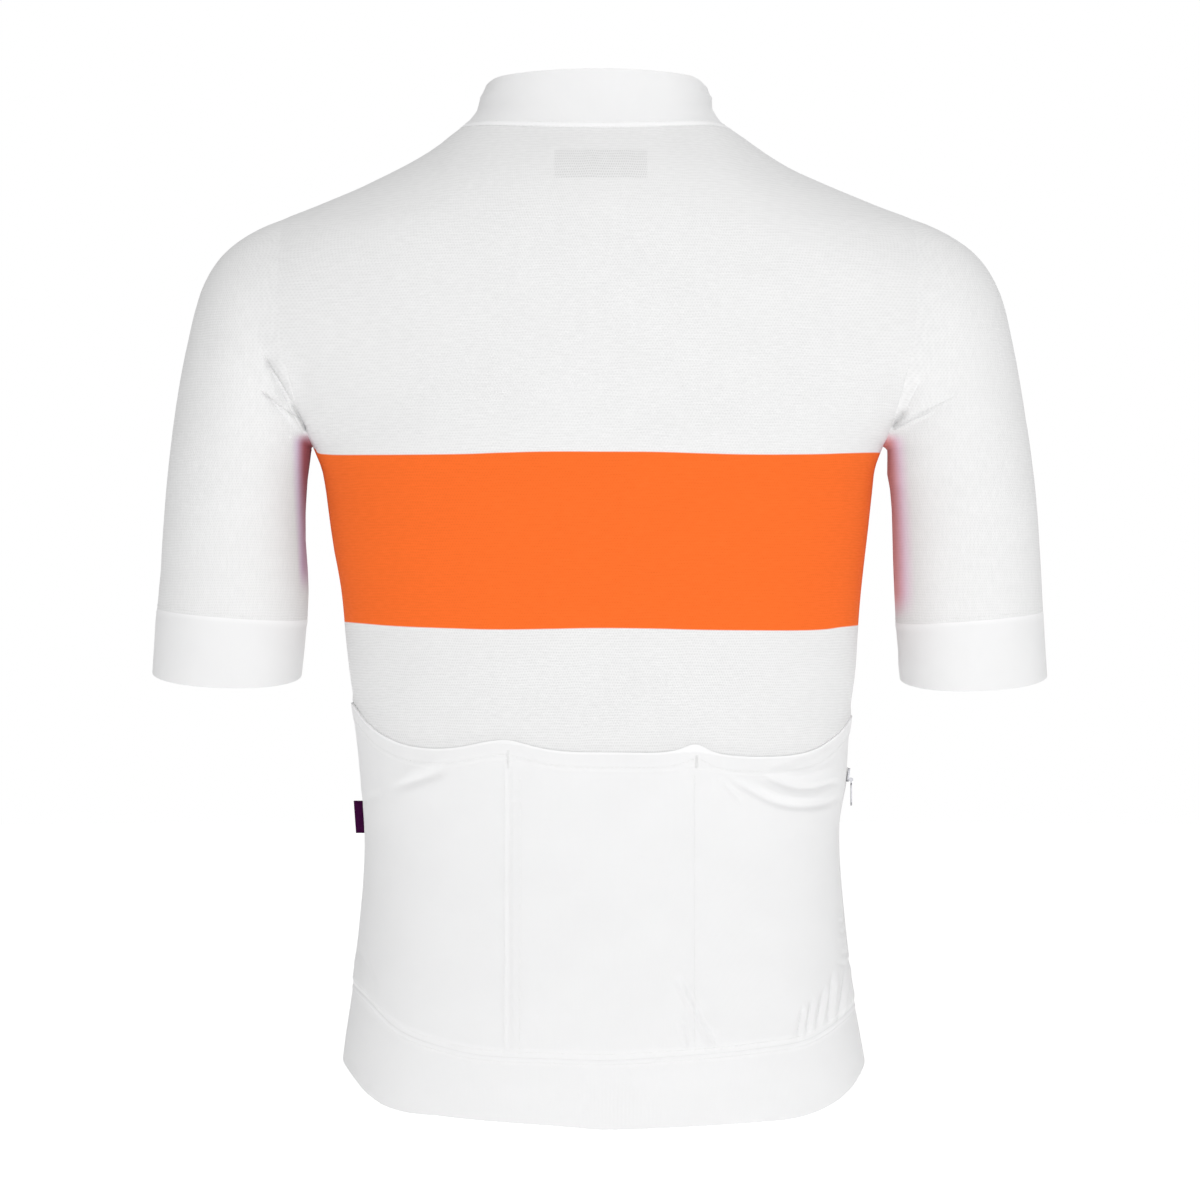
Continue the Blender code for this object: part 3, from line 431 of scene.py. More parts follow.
@dataclass(frozen=True)
class KnitFinish:
    """Fine open knit: rows of small loops with a hole between four of them.

    Attributes:
        name: Name of the material.
        white: Colour of the yarn.
        pitch: Pitch of the loops and of their rows.
        hole_shade: Painted shade: how much darker a hole is.
        hole: Radii between which a hole ends, as shares of the pitch.
        shaded_below: Height below which the knit is more open and is painted darker.
        open_hole_shade: Painted shade: how much darker the holes are there.
        low_shade: Painted shade: how much darker the whole knit is there.
        waver: Height of the rows' slow waves, in rows.
        waver_size: Size of these waves.
        dash: Length and height of the yarn's dashes.
        dash_depth: Depth of the dashes in the bump.
        hole_depth: Depth of the holes in the bump.
        cloud: Size of the faint clouds.
        patch_dark: How much darker the holes are on the patch.
        patch_dim: How much darker the whole knit is there.
        band: Printed band, or None.
        patch: Place where a label shows through, or None.
        painted_bounce: Painted bounce light from the band with painted shade, on a sleeve's inner edge, or
            None.
    """

    name: str
    white: Colour = (0.815, 0.815, 0.815)
    pitch: float = 1.75
    hole_shade: float = 0.055
    hole: Point2 = (0.10, 0.42)
    shaded_below: float = -326.0
    open_hole_shade: float = 0.03
    low_shade: float = 0.012
    waver: float = 1.5
    waver_size: Point2 = (24.0, 24.0)
    dash: Point2 = (7.0, 1.3)
    dash_depth: float = 0.12
    hole_depth: float = 0.18
    cloud: Point2 = (38.0, 30.0)
    patch_dark: float = 0.12
    patch_dim: float = 0.035
    band: Band | None = None
    patch: Patch | None = None
    painted_bounce: PaintedBounce | None = None

    def make(self) -> bpy.types.Material:
        """Build the material.

        Returns:
            The finished material.
        """
        recipe = Recipe(self.name)
        u, v, _ = recipe.place(True)
        row = v / self.pitch + recipe.blots(*self.waver_size, detail=1.0) * self.waver
        column = u / self.pitch + row.apply("FLOOR").apply("FLOORED_MODULO", 2.0) * 0.5
        beside, over = column.apply("FRACT") - 0.5, row.apply("FRACT") - 0.5
        hole = (beside * beside + over * over).apply("SQRT").step(*self.hole, 1.0, 0.0)
        dashes = recipe.blots(*self.dash, detail=1.0)
        cloud = recipe.blots(*self.cloud, detail=3.0)
        _, _, height = recipe.place(False)
        # Painted shade: the holes are darker, and below the band the holes and the whole knit are darker
        # still.
        low_shade_mask = height.step(self.shaded_below - 1.0, self.shaded_below + 1.0, 1.0, 0.0)
        dark = low_shade_mask * self.open_hole_shade + self.hole_shade
        colour: object = self.white
        if self.band is not None:
            colour = self.band.lay(recipe, colour)
        # Painted bounce light from the band and painted shade on a sleeve's inner edge.
        if self.painted_bounce is not None:
            colour = self.painted_bounce.paint_bounce(recipe, colour)
        if self.patch is not None:
            share = self.patch.mask(recipe)
            dark = share * self.patch_dark + dark
            colour = recipe.dim(colour, 1 - share * self.patch_dim)
        # Tone: painted shade in the holes and below the band, with the yarn's dashes and faint clouds.
        tone = ((1 - hole * dark) * dashes.step(0.25, 0.75, 0.975, 1.015)
                * cloud.step(0.2, 0.8, 0.985, 1.005) * (1 - low_shade_mask * self.low_shade))
        loops = recipe.bump(1 - hole, self.hole_depth, strength=0.35)
        normal = recipe.bump(dashes, self.dash_depth, loops, strength=0.5)
        return recipe.close(recipe.dim(colour, tone), dashes.step(0.2, 0.8, 0.92, 0.8), normal,
                       Specular_IOR_Level=0.15)


@dataclass(frozen=True)
class SmoothFinish:
    """Close, smooth stretch cloth with a very fine rib, paler beside seams and on the pocket's rim: partly
    doubled cloth, partly a painted highlight.
    """

    name: str
    white: Colour = (0.85, 0.85, 0.853)
    # Paler colour beside seams: doubled cloth, and a painted highlight on the welts and the pocket's rim.
    doubled_highlight: Colour = (0.93, 0.93, 0.935)
    rib: float = 0.8
    course: float = 0.56
    rib_depth: float = 0.05

    def make(self) -> bpy.types.Material:
        """Build the material.

        Returns:
            The finished material.
        """
        recipe = Recipe(self.name)
        u, v, _ = recipe.place(True)
        weave = u.wave(self.rib) * 0.5 + v.wave(self.course) * 0.35
        cloud = recipe.blots(45.0, 35.0, detail=3.0)
        grain = recipe.blots(1.3, 1.3)
        tone = cloud.step(0.2, 0.8, 0.985, 1.005) * weave.step(-0.8, 0.8, 0.985, 1.0)
        normal = recipe.bump(grain, 0.03, recipe.bump(weave, self.rib_depth))
        # Share of the paler colour: doubled cloth and painted highlight beside seams.
        seam = recipe.node("Attribute", output="Fac", attribute_name=DOUBLED_HIGHLIGHT_MAP)
        return recipe.close(recipe.dim(recipe.mix(seam, self.white, self.doubled_highlight), tone),
                       grain.step(0.2, 0.8, 0.66, 0.54), normal, Specular_IOR_Level=0.22)


@dataclass(frozen=True)
class TapeFinish:
    """Close woven tape with a slanting twill line."""

    name: str
    colour: Colour = (0.80, 0.80, 0.80)
    twill: float = 0.9
    yarn: float = 0.45

    def make(self) -> bpy.types.Material:
        """Build the material.

        Returns:
            The finished material.
        """
        recipe = Recipe(self.name)
        u, v, _ = recipe.place(True)
        weave = (u + v * 0.6).wave(self.twill) * 0.6 + v.wave(self.yarn) * 0.3
        wear = recipe.blots(4.0, 9.0, detail=3.0)
        tone = weave.step(-0.9, 0.9, 0.93, 1.0) * wear.step(0.25, 0.75, 0.97, 1.01)
        return recipe.close(recipe.dim(self.colour, tone), wear.step(0.2, 0.8, 0.9, 0.78),
                       recipe.bump(weave, 0.08), Specular_IOR_Level=0.25)


@dataclass(frozen=True)
class ThreadFinish:
    """Twisted sewing thread with a soft shine."""

    name: str
    colour: Colour = (0.90, 0.90, 0.90)
    turns: float = 9.0

    def make(self) -> bpy.types.Material:
        """Build the material.

        Returns:
            The finished material.
        """
        recipe = Recipe(self.name)
        across, deep, height = recipe.place(False)
        twist = ((across + deep + height) * self.turns).apply("SINE")
        fuzz = recipe.blots(0.6, 0.6, 0.6)
        tone = twist.step(-1.0, 1.0, 0.95, 1.0) * fuzz.step(0.2, 0.8, 0.96, 1.02)
        return recipe.close(recipe.dim(self.colour, tone), fuzz.step(0.2, 0.8, 0.55, 0.42),
                       recipe.bump(twist, 0.05), Specular_IOR_Level=0.4)


@dataclass(frozen=True)
class CoilFinish:
    """Moulded plastic of a zip coil."""

    name: str
    colour: Colour = (0.78, 0.78, 0.79)

    def make(self) -> bpy.types.Material:
        """Build the material.

        Returns:
            The finished material.
        """
        recipe = Recipe(self.name)
        blot = recipe.blots(1.5, 1.5, 3.0)
        return recipe.close(recipe.dim(self.colour, blot.step(0.2, 0.8, 0.96, 1.01)),
                       blot.step(0.2, 0.8, 0.42, 0.3), recipe.bump(blot, 0.03), Coat_Weight=0.1)


@dataclass(frozen=True)
class MetalFinish:
    """Satin metal, brushed along its length and worn in places."""

    name: str
    colour: Colour = (0.34, 0.34, 0.36)
    worn: Colour = (0.26, 0.26, 0.27)

    def make(self) -> bpy.types.Material:
        """Build the material.

        Returns:
            The finished material.
        """
        recipe = Recipe(self.name)
        brush = recipe.blots(0.12, 0.12, 2.5, detail=3.0)
        wear = recipe.blots(1.2, 1.2, 1.2, detail=4.0)
        colour = recipe.mix(wear.step(0.45, 0.75), self.colour, self.worn)
        return recipe.close(recipe.dim(colour, brush.step(0.2, 0.8, 0.93, 1.03)),
                       brush.step(0.2, 0.8, 0.34, 0.24), recipe.bump(brush, 0.01), Metallic=1.0)


@dataclass(frozen=True)
class LabelFinish:
    """Close woven label with fine cross threads."""

    name: str
    colour: Colour
    thread: float = 0.5
    shine: float = 0.3

    def make(self) -> bpy.types.Material:
        """Build the material.

        Returns:
            The finished material.
        """
        recipe = Recipe(self.name)
        u, v, _ = recipe.place(True)
        weave = u.wave(self.thread) * v.wave(self.thread)
        wear = recipe.blots(3.0, 3.0, detail=3.0)
        tone = weave.step(-1.0, 1.0, 0.82, 1.05) * wear.step(0.25, 0.75, 0.9, 1.08)
        return recipe.close(recipe.dim(self.colour, tone), wear.step(0.2, 0.8, 0.8, 0.62),
                       recipe.bump(weave, 0.06), Specular_IOR_Level=self.shine)


@dataclass(frozen=True)
class FloorFinish:
    """Plain pale studio floor."""

    name: str = "studio_floor"
    colour: Colour = (0.93, 0.93, 0.93)
    glow: float = 0.48
    glow_seen: float = 0.62

    def make(self) -> bpy.types.Material:
        """Build the material.

        Returns:
            The finished material.
        """
        recipe = Recipe(self.name)
        seen = recipe.node("LightPath", output="Is Camera Ray")
        recipe.feed(recipe.shader.inputs["Emission Color"], (1.0, 1.0, 1.0))
        recipe.feed(recipe.shader.inputs["Emission Strength"], seen.step(0.0, 1.0, self.glow, self.glow_seen))
        return recipe.close(self.colour, 0.9, None)


# --------------------------------------------------------------------------
# Forms: where a tube of cloth has its middle, and which way is out of it


@dataclass(frozen=True)
class Form:
    """Tube of cloth round an upright line.

    Attributes:
        out: Place of the line across.
        deep: Place of the line in depth.
        breadth: Half breadth of the tube.
        depth: Half depth of the tube.
        seam_turn: Turn, in radians from +X, that the weave map is centred on.
        power: Squareness of the tube's section.
        straight_from: Height at which the ways out begin to point straight back or forward.
        straight_to: Height above which all of them do.
    """

    out: float
    deep: float
    breadth: float
    depth: float
    seam_turn: float
    power: float = 2.4
    straight_from: float = -215.0
    straight_to: float = -195.0

    def turn(self, points: np.ndarray) -> np.ndarray:
        """Turn of each point round the tube.

        Args:
            points: Rows of x, y, z in millimetres.

        Returns:
            Turns from -pi to pi about the middle of the weave map.
        """
        angle = np.arctan2((points[:, 1] - self.deep) / self.depth,
                           (points[:, 0] - self.out) / self.breadth) - self.seam_turn
        return (angle + math.pi) % (2 * math.pi) - math.pi

    def outward(self, points: np.ndarray) -> np.ndarray:
        """Way out of the cloth at each point.

        Args:
            points: Rows of x, y, z in millimetres.

        Returns:
            Unit rows. Above the underarm they point straight back or forward.
        """
        a = (points[:, 0] - self.out) / self.breadth
        b = (points[:, 1] - self.deep) / self.depth
        way = np.zeros_like(points)
        way[:, 0] = np.sign(a) * np.abs(a) ** (self.power - 1) / self.breadth
        way[:, 1] = np.sign(b) * np.abs(b) ** (self.power - 1) / self.depth
        way /= np.maximum(np.linalg.norm(way, axis=1, keepdims=True), 1e-9)
        share = soft_step(points[:, 2], self.straight_from, self.straight_to)[:, None]
        plain = np.zeros_like(points)
        plain[:, 1] = np.sign(b)
        mixed = way * (1 - share) + plain * share
        return mixed / np.maximum(np.linalg.norm(mixed, axis=1, keepdims=True), 1e-9)

    def arc(self, turns: np.ndarray) -> np.ndarray:
        """Distance round the tube for turns about the middle of the weave map.

        Args:
            turns: Turns in radians.

        Returns:
            Distances in millimetres.
        """
        grid = np.linspace(-1.5 * math.pi, 1.5 * math.pi, 2401)
        angle = grid + self.seam_turn
        cosine, sine = np.cos(angle), np.sin(angle)
        radius = (np.abs(cosine) ** self.power + np.abs(sine) ** self.power) ** (-1 / self.power)
        line = np.stack([self.breadth * radius * cosine, self.depth * radius * sine], axis=1)
        run = np.concatenate([[0], np.cumsum(np.linalg.norm(np.diff(line, axis=0), axis=1))])
        run -= np.interp(0.0, grid, run)
        return np.interp(turns, grid, run)

    def facing(self, points: np.ndarray, half: Half, soft: float = 14.0) -> np.ndarray:
        """Share of each point that lies on one half of the tube.

        Args:
            points: Rows of x, y, z in millimetres.
            half: The half that is asked for.
            soft: Depth over which one half turns into the other.

        Returns:
            Shares from 0 to 1.
        """
        return soft_step((points[:, 1] - self.deep) * half.value, 0.0, soft)


def soft_step(value: np.ndarray, low: float, high: float) -> np.ndarray:
    """Soft step from 0 at low to 1 at high."""
    share = np.clip((value - low) / (high - low), 0, 1)
    return share * share * (3 - 2 * share)


TORSO = Form(0.0, 0.0, 170.0, 100.0, -math.pi / 2)
LEFT_ARM = Form(-238.5, 6.0, 50.0, 51.0, math.pi)
RIGHT_ARM = Form(238.5, 6.0, 50.0, 51.0, 0.0)
NECK = Form(-1.5, 0.0, 80.0, 64.0, -math.pi / 2, 2.1)


# --------------------------------------------------------------------------
# Creases


# A crease below this power counts as sharp and reaches over more half widths than a round one
SHARP_POWER = 1.5
SHARP_REACH = 4.0
ROUND_REACH = 3.2
# Places across between which a welt grows prouder
SIDES_FROM = 90.0
SIDES_TO = 160.0


def smooth_line(points: Sequence[Point2], steps: int = 8) -> np.ndarray:
    """Smooth line through a few points.

    Args:
        points: The points, across and height.
        steps: Pieces between two points.

    Returns:
        Rows of across and height.
    """
    given = np.array(points, dtype=float)
    if len(given) == 2:
        return given
    padded = np.vstack([2 * given[0] - given[1], given, 2 * given[-1] - given[-2]])
    line = []
    for i in range(len(given) - 1):
        a, b, c, d = padded[i:i + 4]
        for t in np.linspace(0, 1, steps, endpoint=False):
            line.append(0.5 * (2 * b + (c - a) * t + (2 * a - 5 * b + 4 * c - d) * t ** 2
                               + (3 * b - a - 3 * c + d) * t ** 3))
    line.append(given[-1])
    return np.array(line)


@dataclass(frozen=True)
class Crease:
    """Soft trough or ridge that runs along a line on one half of a tube.

    Attributes:
        line: Points of the line, across and height.
        proud: Height of the ridge; minus is a trough.
        width: Half width.
        lean: Share by which its upper left side stands higher than the other.
        fade: Share of its length over which each end dies away.
        power: 2 for a round section, near 1 for a sharp fold.
    """

    line: tuple[Point2, ...]
    proud: float
    width: float
    lean: float = 0.0
    fade: float = 0.35
    power: float = 2.0

    def lift(self, points: np.ndarray) -> np.ndarray:
        """Lift of each point.

        Args:
            points: Rows of x, y, z in millimetres.

        Returns:
            Lifts in millimetres.
        """
        line = smooth_line(self.line)
        lifts = np.zeros(len(points))
        near = self.beside(points, SHARP_REACH if self.power < SHARP_POWER else ROUND_REACH)
        if not near.any():
            return lifts
        start, run = line[:-1], np.diff(line, axis=0)
        long = np.linalg.norm(run, axis=1)
        before = np.concatenate([[0], np.cumsum(long)[:-1]])
        gap = points[near][:, [0, 2]][:, None, :] - start[None]
        along = np.clip((gap * run).sum(-1) / long ** 2, 0, 1)
        away = np.linalg.norm(gap - along[..., None] * run, axis=-1)
        best = away.argmin(axis=1)
        pick = np.arange(len(best))
        distance = away[pick, best] / self.width
        share = (before[best] + along[pick, best] * long[best]) / long.sum()
        side = np.sign(run[best, 0] * gap[pick, best, 1] - run[best, 1] * gap[pick, best, 0])
        ends = soft_step(share, 0.0, self.fade) * soft_step(1 - share, 0.0, self.fade)
        lifts[near] = (self.proud * ends * np.exp(-distance ** self.power)
                       * (1 + self.lean * side * distance))
        return lifts

    def beside(self, points: np.ndarray, reach: float) -> np.ndarray:
        """True for points within some half widths of the line's own box or of a piece of it."""
        flat = points[:, [0, 2]]
        line = smooth_line(self.line, 3)
        close = np.zeros(len(points), dtype=bool)
        margin = reach * self.width
        for first, last in zip(line[:-1], line[1:]):
            low, high = np.minimum(first, last) - margin, np.maximum(first, last) + margin
            close |= np.all((flat > low) & (flat < high), axis=1)
        return close


@dataclass(frozen=True)
class Pleats:
    """Row of like creases, each one step from the last.

    Attributes:
        first: Start of the first crease, across and height.
        run: From the start to the end of a crease.
        step: From one crease to the next.
        count: Number of creases.
        proud: Height of a ridge; minus is a trough.
        width: Half width.
        uneven: Share by which height and length differ from one to the next.
        fade: Share of its length over which each end dies away.
    """

    first: Point2
    run: Point2
    step: Point2
    count: int
    proud: float
    width: float
    uneven: float = 0.25
    fade: float = 0.4

    def creases(self) -> list[Crease]:
        """The creases of the row.

        Returns:
            One crease for each pleat, uneven in height and length.
        """
        made = []
        for i in range(self.count):
            sway = self.uneven * math.sin(2.4 * i + 1.0)
            start = (self.first[0] + i * self.step[0], self.first[1] + i * self.step[1])
            end = (start[0] + self.run[0] * (1 + sway), start[1] + self.run[1] * (1 + sway))
            middle = ((start[0] + end[0]) / 2 + sway, (start[1] + end[1]) / 2)
            made.append(Crease((start, middle, end), self.proud * (1 - sway), self.width,
                               fade=self.fade))
        return made


@dataclass
class Edge:
    """Height of an edge of the cloth, by the turn round its tube."""

    form: Form
    turns: np.ndarray
    heights: np.ndarray

    def height(self, turns: np.ndarray) -> np.ndarray:
        """Height of the edge at these turns."""
        return np.interp(turns, self.turns, self.heights)

    def above(self, points: np.ndarray) -> np.ndarray:
        """How far each point is above the edge."""
        return points[:, 2] - self.height(self.form.turn(points))


@dataclass
class Welt:
    """Band that stands out of the cloth, beside an edge.

    Attributes:
        edge: The edge that it follows.
        low: Its lower side above the edge.
        high: Its upper side above the edge.
        proud: How far it stands out.
        soft: Width of its lower sloping side.
        soft_up: Width of its upper sloping side.
        sides: How much prouder it is at the sides of the body.
    """

    edge: Edge
    low: float
    high: float
    proud: float
    soft: float = 1.2
    soft_up: float = 1.2
    sides: float = 0.0

    def lift(self, points: np.ndarray) -> np.ndarray:
        """Lift of each point.

        Args:
            points: Rows of x, y, z in millimetres.

        Returns:
            Lifts in millimetres.
        """
        more = self.sides * soft_step(np.abs(points[:, 0]), SIDES_FROM, SIDES_TO)
        return (self.proud + more) * self.share(points)

    def share(self, points: np.ndarray) -> np.ndarray:
        """Share of the band at each point, from 0 to 1."""
        above = self.edge.above(points)
        return (soft_step(above, self.low - self.soft, self.low)
                * (1 - soft_step(above, self.high, self.high + self.soft_up)))


@dataclass
class Taper:
    """Pocket cloth pressed flat where it is sewn into the side and hem seams.

    Attributes:
        seam: The hem seam.
        reach: Height above it over which the cloth is pressed.
        outer: Move of the outer face at the hem seam.
        side_reach: Depth behind the side seam over which the cloth is pressed.
        side_outer: Move of the outer face at the side seam.
        inner: Move of the inner face at both.
    """

    seam: Edge
    reach: float = 6.0
    outer: float = -0.95
    side_reach: float = 9.0
    side_outer: float = -1.4
    inner: float = -0.2

    def lift(self, points: np.ndarray, outside: np.ndarray) -> np.ndarray:
        """Lift of each point.

        Args:
            points: Rows of x, y, z in millimetres.
            outside: True for points of the outer face.

        Returns:
            Lifts in millimetres.
        """
        hem = 1 - soft_step(self.seam.above(points), 0.0, self.reach)
        side = 1 - soft_step(-points[:, 1], 0.0, self.side_reach)
        pressed = np.minimum(self.outer * hem, self.side_outer * side)
        return np.where(outside, pressed, self.inner * np.maximum(hem, side))


@dataclass(frozen=True)
class Peak:
    """Place where an edge is held up in a small peak, or hangs lower.

    Attributes:
        across: Place of its middle.
        high: Its height; minus is a drop.
        width: Half width.
        reach: Distance from the edge over which it dies away.
    """

    across: float
    high: float
    width: float
    reach: float = 14.0

    def rise(self, points: np.ndarray, edge: Edge) -> np.ndarray:
        """Rise of each point.

        Args:
            points: Rows of x, y, z in millimetres.
            edge: The edge that has the peak.

        Returns:
            Rises in millimetres.
        """
        return (self.high * np.exp(-((points[:, 0] - self.across) / self.width) ** 2)
                * (1 - soft_step(np.abs(edge.above(points)), 0.0, self.reach)))


BACK_CREASES: tuple[Crease, ...] = (
    # left pocket, below its top edge
    Crease(((-136, -429.0), (-114.2, -421.8), (-96, -414.5)), -1.6, 2.8, 0.2),
    Crease(((-132, -420.0), (-112, -413.0), (-95, -408.5)), 0.9, 4.0),
    Crease(((-160, -440.0), (-146, -434.0), (-136, -428.0)), -0.5, 3.0),
    # right pocket, from the tack towards the zip
    Crease(((75.0, -419.6), (83.0, -427.3), (91.5, -438.5)), -0.9, 2.0),
    Crease(((80.0, -418.5), (107.0, -433.8), (125.5, -438.9), (144.6, -438.2), (160.0, -431.5)),
           -2.0, 2.5, fade=0.2),
    Crease(((92.0, -420.0), (114.0, -430.4), (133.0, -433.4), (153.0, -430.5)), 1.1, 2.6),
    Crease(((103.0, -418.5), (121.8, -426.3), (137.2, -427.6), (157.0, -423.0)), -1.8, 2.2, fade=0.2),
    Crease(((106.0, -415.0), (128.0, -418.3), (156.0, -411.0)), 1.1, 3.2),
    Crease(((101.0, -415.2), (121.8, -410.3), (141.0, -402.7), (156.0, -393.0)), -1.2, 2.8, fade=0.2),
    # right pocket, long fold down to the hem seam
    Crease(((47.0, -543.0), (57.5, -564.4), (68.3, -582.7), (77.0, -593.0)), -1.9, 2.6, 0.3, 0.2),
    Crease(((54.0, -549.0), (64.0, -567.0), (75.0, -583.0)), 0.9, 2.8, fade=0.2),
    Crease(((50.0, -572.0), (55.0, -591.0)), -0.9, 1.8, fade=0.2),
    Crease(((54.0, -570.0), (58.0, -592.0)), 0.8, 2.0, fade=0.2),
    # left side, above the hem seam
    Crease(((-160, -528.0), (-148, -546.0), (-142, -562.0)), -0.8, 2.6),
    Crease(((-163, -543.0), (-153, -556.0)), -0.6, 2.2),
)

LEFT_ARM_CREASES: tuple[Crease, ...] = (
    Crease(((-217.5, -147.5), (-205.0, -166.0), (-196.6, -181.5), (-191.0, -193.0), (-186.0, -204.0)),
           -3.6, 1.4, 0.25, 0.15, 1.1),
    Crease(((-210.0, -149.0), (-200.0, -164.5), (-193.0, -177.0)), 1.0, 3.4),
    Crease(((-197.0, -148.0), (-189.5, -172.0), (-183.0, -193.0)), -1.6, 7.0),
    Crease(((-219.0, -171.0), (-210.6, -178.4), (-199.6, -186.2), (-192.0, -190.0)),
           -2.3, 1.1, 0.2, 0.2, 1.1),
    Crease(((-199.5, -178.0), (-194.0, -188.0), (-188.0, -200.0)), -5.6, 1.5, fade=0.25, power=1.5),
    Crease(((-201.0, -202.5), (-194.0, -200.5), (-188.0, -201.0)), 0.9, 1.4, fade=0.2),
)
RIGHT_ARM_CREASES: tuple[Crease, ...] = (
    Crease(((198.0, -183.5), (192.0, -190.5), (186.5, -197.5)), -6.0, 1.8, fade=0.35, power=1.5),
    Crease(((193.0, -189.0), (187.0, -198.0), (182.5, -206.0)), -2.0, 1.2, fade=0.25, power=1.3),
    Crease(((220.0, -141.0), (211.0, -156.0), (200.0, -174.0)), 1.7, 5.5),
    Crease(((196.0, -148.0), (190.0, -168.0), (184.5, -184.0)), -1.2, 7.0),
    Crease(((231.0, -174.0), (220.0, -180.0), (208.0, -185.6), (197.0, -190.0)), -0.8, 1.0, -0.2, 0.2, 1.1),
    Crease(((214.0, -186.0), (204.0, -190.6), (195.0, -195.0), (187.5, -199.4)), 1.8, 1.2, fade=0.15),
)

HEM_FOLDS: tuple[tuple[Point2, Point2], ...] = (
    ((128.0, -587.0), (132.9, -562.0)),
    ((133.7, -585.0), (139.2, -557.0)),
    ((140.2, -582.0), (147.6, -550.0)),
    ((148.5, -581.0), (152.8, -541.0)),
    ((155.0, -580.0), (163.3, -537.0)),
)
HEM_RIDGES = tuple(Crease(ends, 1.5, 1.5, fade=0.35, power=1.5) for ends in HEM_FOLDS)
HEM_VALLEYS = tuple(Crease(tuple((x - 3.1, z - 1.0) for x, z in ends), -1.9, 1.4, fade=0.35, power=1.2)
                    for ends in HEM_FOLDS)
SIDE_PUCKERS = Pleats((162.5, -510.0), (-11.0, 2.5), (0.0, -6.6), 6, -0.8, 1.5)
DIVIDER_PUCKERS = Pleats((-57.2, -420.0), (6.4, -1.2), (0.0, -7.4), 23, -0.3, 1.5, 0.35)
DIVIDERS: tuple[Crease, ...] = (
    Crease(((-60.8, -409.0), (-60.6, -500.0), (-60.4, -594.0)), 0.5, 1.3, fade=0.04),
    Crease(((-57.8, -410.0), (-57.7, -500.0), (-57.6, -594.0)), -0.8, 1.4, fade=0.04),
    Crease(((59.8, -408.0), (59.8, -500.0), (59.8, -592.0)), 0.4, 1.4, fade=0.04),
)
HEM_PUCKERS = Pleats((-164.0, -600.0), (9.0, -6.0), (5.0, -7.0), 4, -0.6, 1.8)
POCKET_CREASES: tuple[Crease, ...] = (
    *BACK_CREASES, *DIVIDERS, *HEM_RIDGES, *HEM_VALLEYS, *SIDE_PUCKERS.creases(),
    *DIVIDER_PUCKERS.creases())

FRONT_CREASES: tuple[Crease, ...] = (
    Crease(((-178, -150.0), (-150, -176.0), (-120, -190.0)), -1.3, 4.0),
    Crease(((176, -148.0), (150, -172.0), (118, -192.0)), -1.4, 4.0),
    Crease(((-150, -436.0), (-118, -447.0), (-84, -444.0)), -1.3, 3.6),
    Crease(((150, -428.0), (122, -441.0), (90, -441.0)), -1.3, 3.4),
    Crease(((-60, -500.0), (-34, -505.0), (-12, -498.0)), -1.0, 3.0),
    Crease(((62, -478.0), (36, -484.0), (13, -478.0)), -1.0, 3.0),
)

PEAKS = (Peak(61.0, 3.7, 8.5), Peak(-59.0, 0.8, 9.0))
COLLAR_CORNERS = (Peak(-76.0, -2.7, 6.5), Peak(71.5, -4.6, 7.0))


# --------------------------------------------------------------------------
# Settling: how the worn cloth gives a little along its edges


@dataclass(frozen=True)
class Draw:
    """Cloth that gives a little along one edge of the garment.

    Attributes:
        line: Points along the edge, each its place and the move there.
        full: Place beside the edge where the cloth moves fully.
        none: Place where it stays.
        upright: True for an edge that runs up and moves across, False for the other way round.
        slope: How much the edge comes down for each millimetre away from the middle.
    """

    line: tuple[Point2, ...]
    full: float
    none: float
    upright: bool = True
    slope: float = 0.0

    def move(self, points: np.ndarray) -> np.ndarray:
        """Move of each point.

        Args:
            points: Rows of x, y, z in millimetres.

        Returns:
            Rows of moves in millimetres.
        """
        run, over = (2, 0) if self.upright else (0, 2)
        places, moves = np.array(sorted(self.line)).T
        beside = points[:, over] + self.slope * np.abs(points[:, 0])
        rows = np.zeros_like(points)
        rows[:, over] = np.interp(points[:, run], places, moves) * soft_step(beside, self.none, self.full)
        return rows


SHOULDERS: tuple[Draw, ...] = (
    Draw(((-275, 0), (-252, -1.5), (-238, -1.8), (-215, -2.2), (-187, -4.1), (-157, -5.0), (-129, -4.0),
          (-105, -3.4), (-92, -1.2), (-70, 0), (70, 0), (92, -3.2), (105, -4.6), (125, -6.0),
          (153, -5.5), (183, -4.5), (211, -2.0), (234, -1.2), (262, 0)), 38.0, -20.0, False, 0.48),
)
LEFT_SLEEVE: tuple[Draw, ...] = (
    Draw(((-62, 0.5), (-73, 1.4), (-86, 2.6), (-99, 3.5), (-115, 4.6), (-138, 4.7), (-164, 4.2),
          (-190, 4.0), (-222, 3.2), (-255, 2.7), (-288, 1.6), (-320, -1.3)), -262.0, -222.0),
    Draw(((-208, 0), (-228, -2.2), (-250, -3.0), (-268, -2.8), (-288, -1.3), (-301, -0.7),
          (-314, -1.0), (-327, -1.5), (-345, -1.6)), -195.0, -225.0),
)
RIGHT_SLEEVE: tuple[Draw, ...] = (
    Draw(((-73, 0), (-87, -1.0), (-104, -1.6), (-138, -2.6), (-164, -3.0), (-190, -3.4),
          (-216, -2.6), (-242, -1.8), (-271, -1.1), (-297, 0), (-320, 1.0)), 262.0, 222.0),
    Draw(((-208, 0), (-225, -1.0), (-235, 0.5), (-248, 1.3), (-281, 1.9), (-314, 3.0),
          (-340, 3.4), (-350, 2.6)), 195.0, 225.0),
)
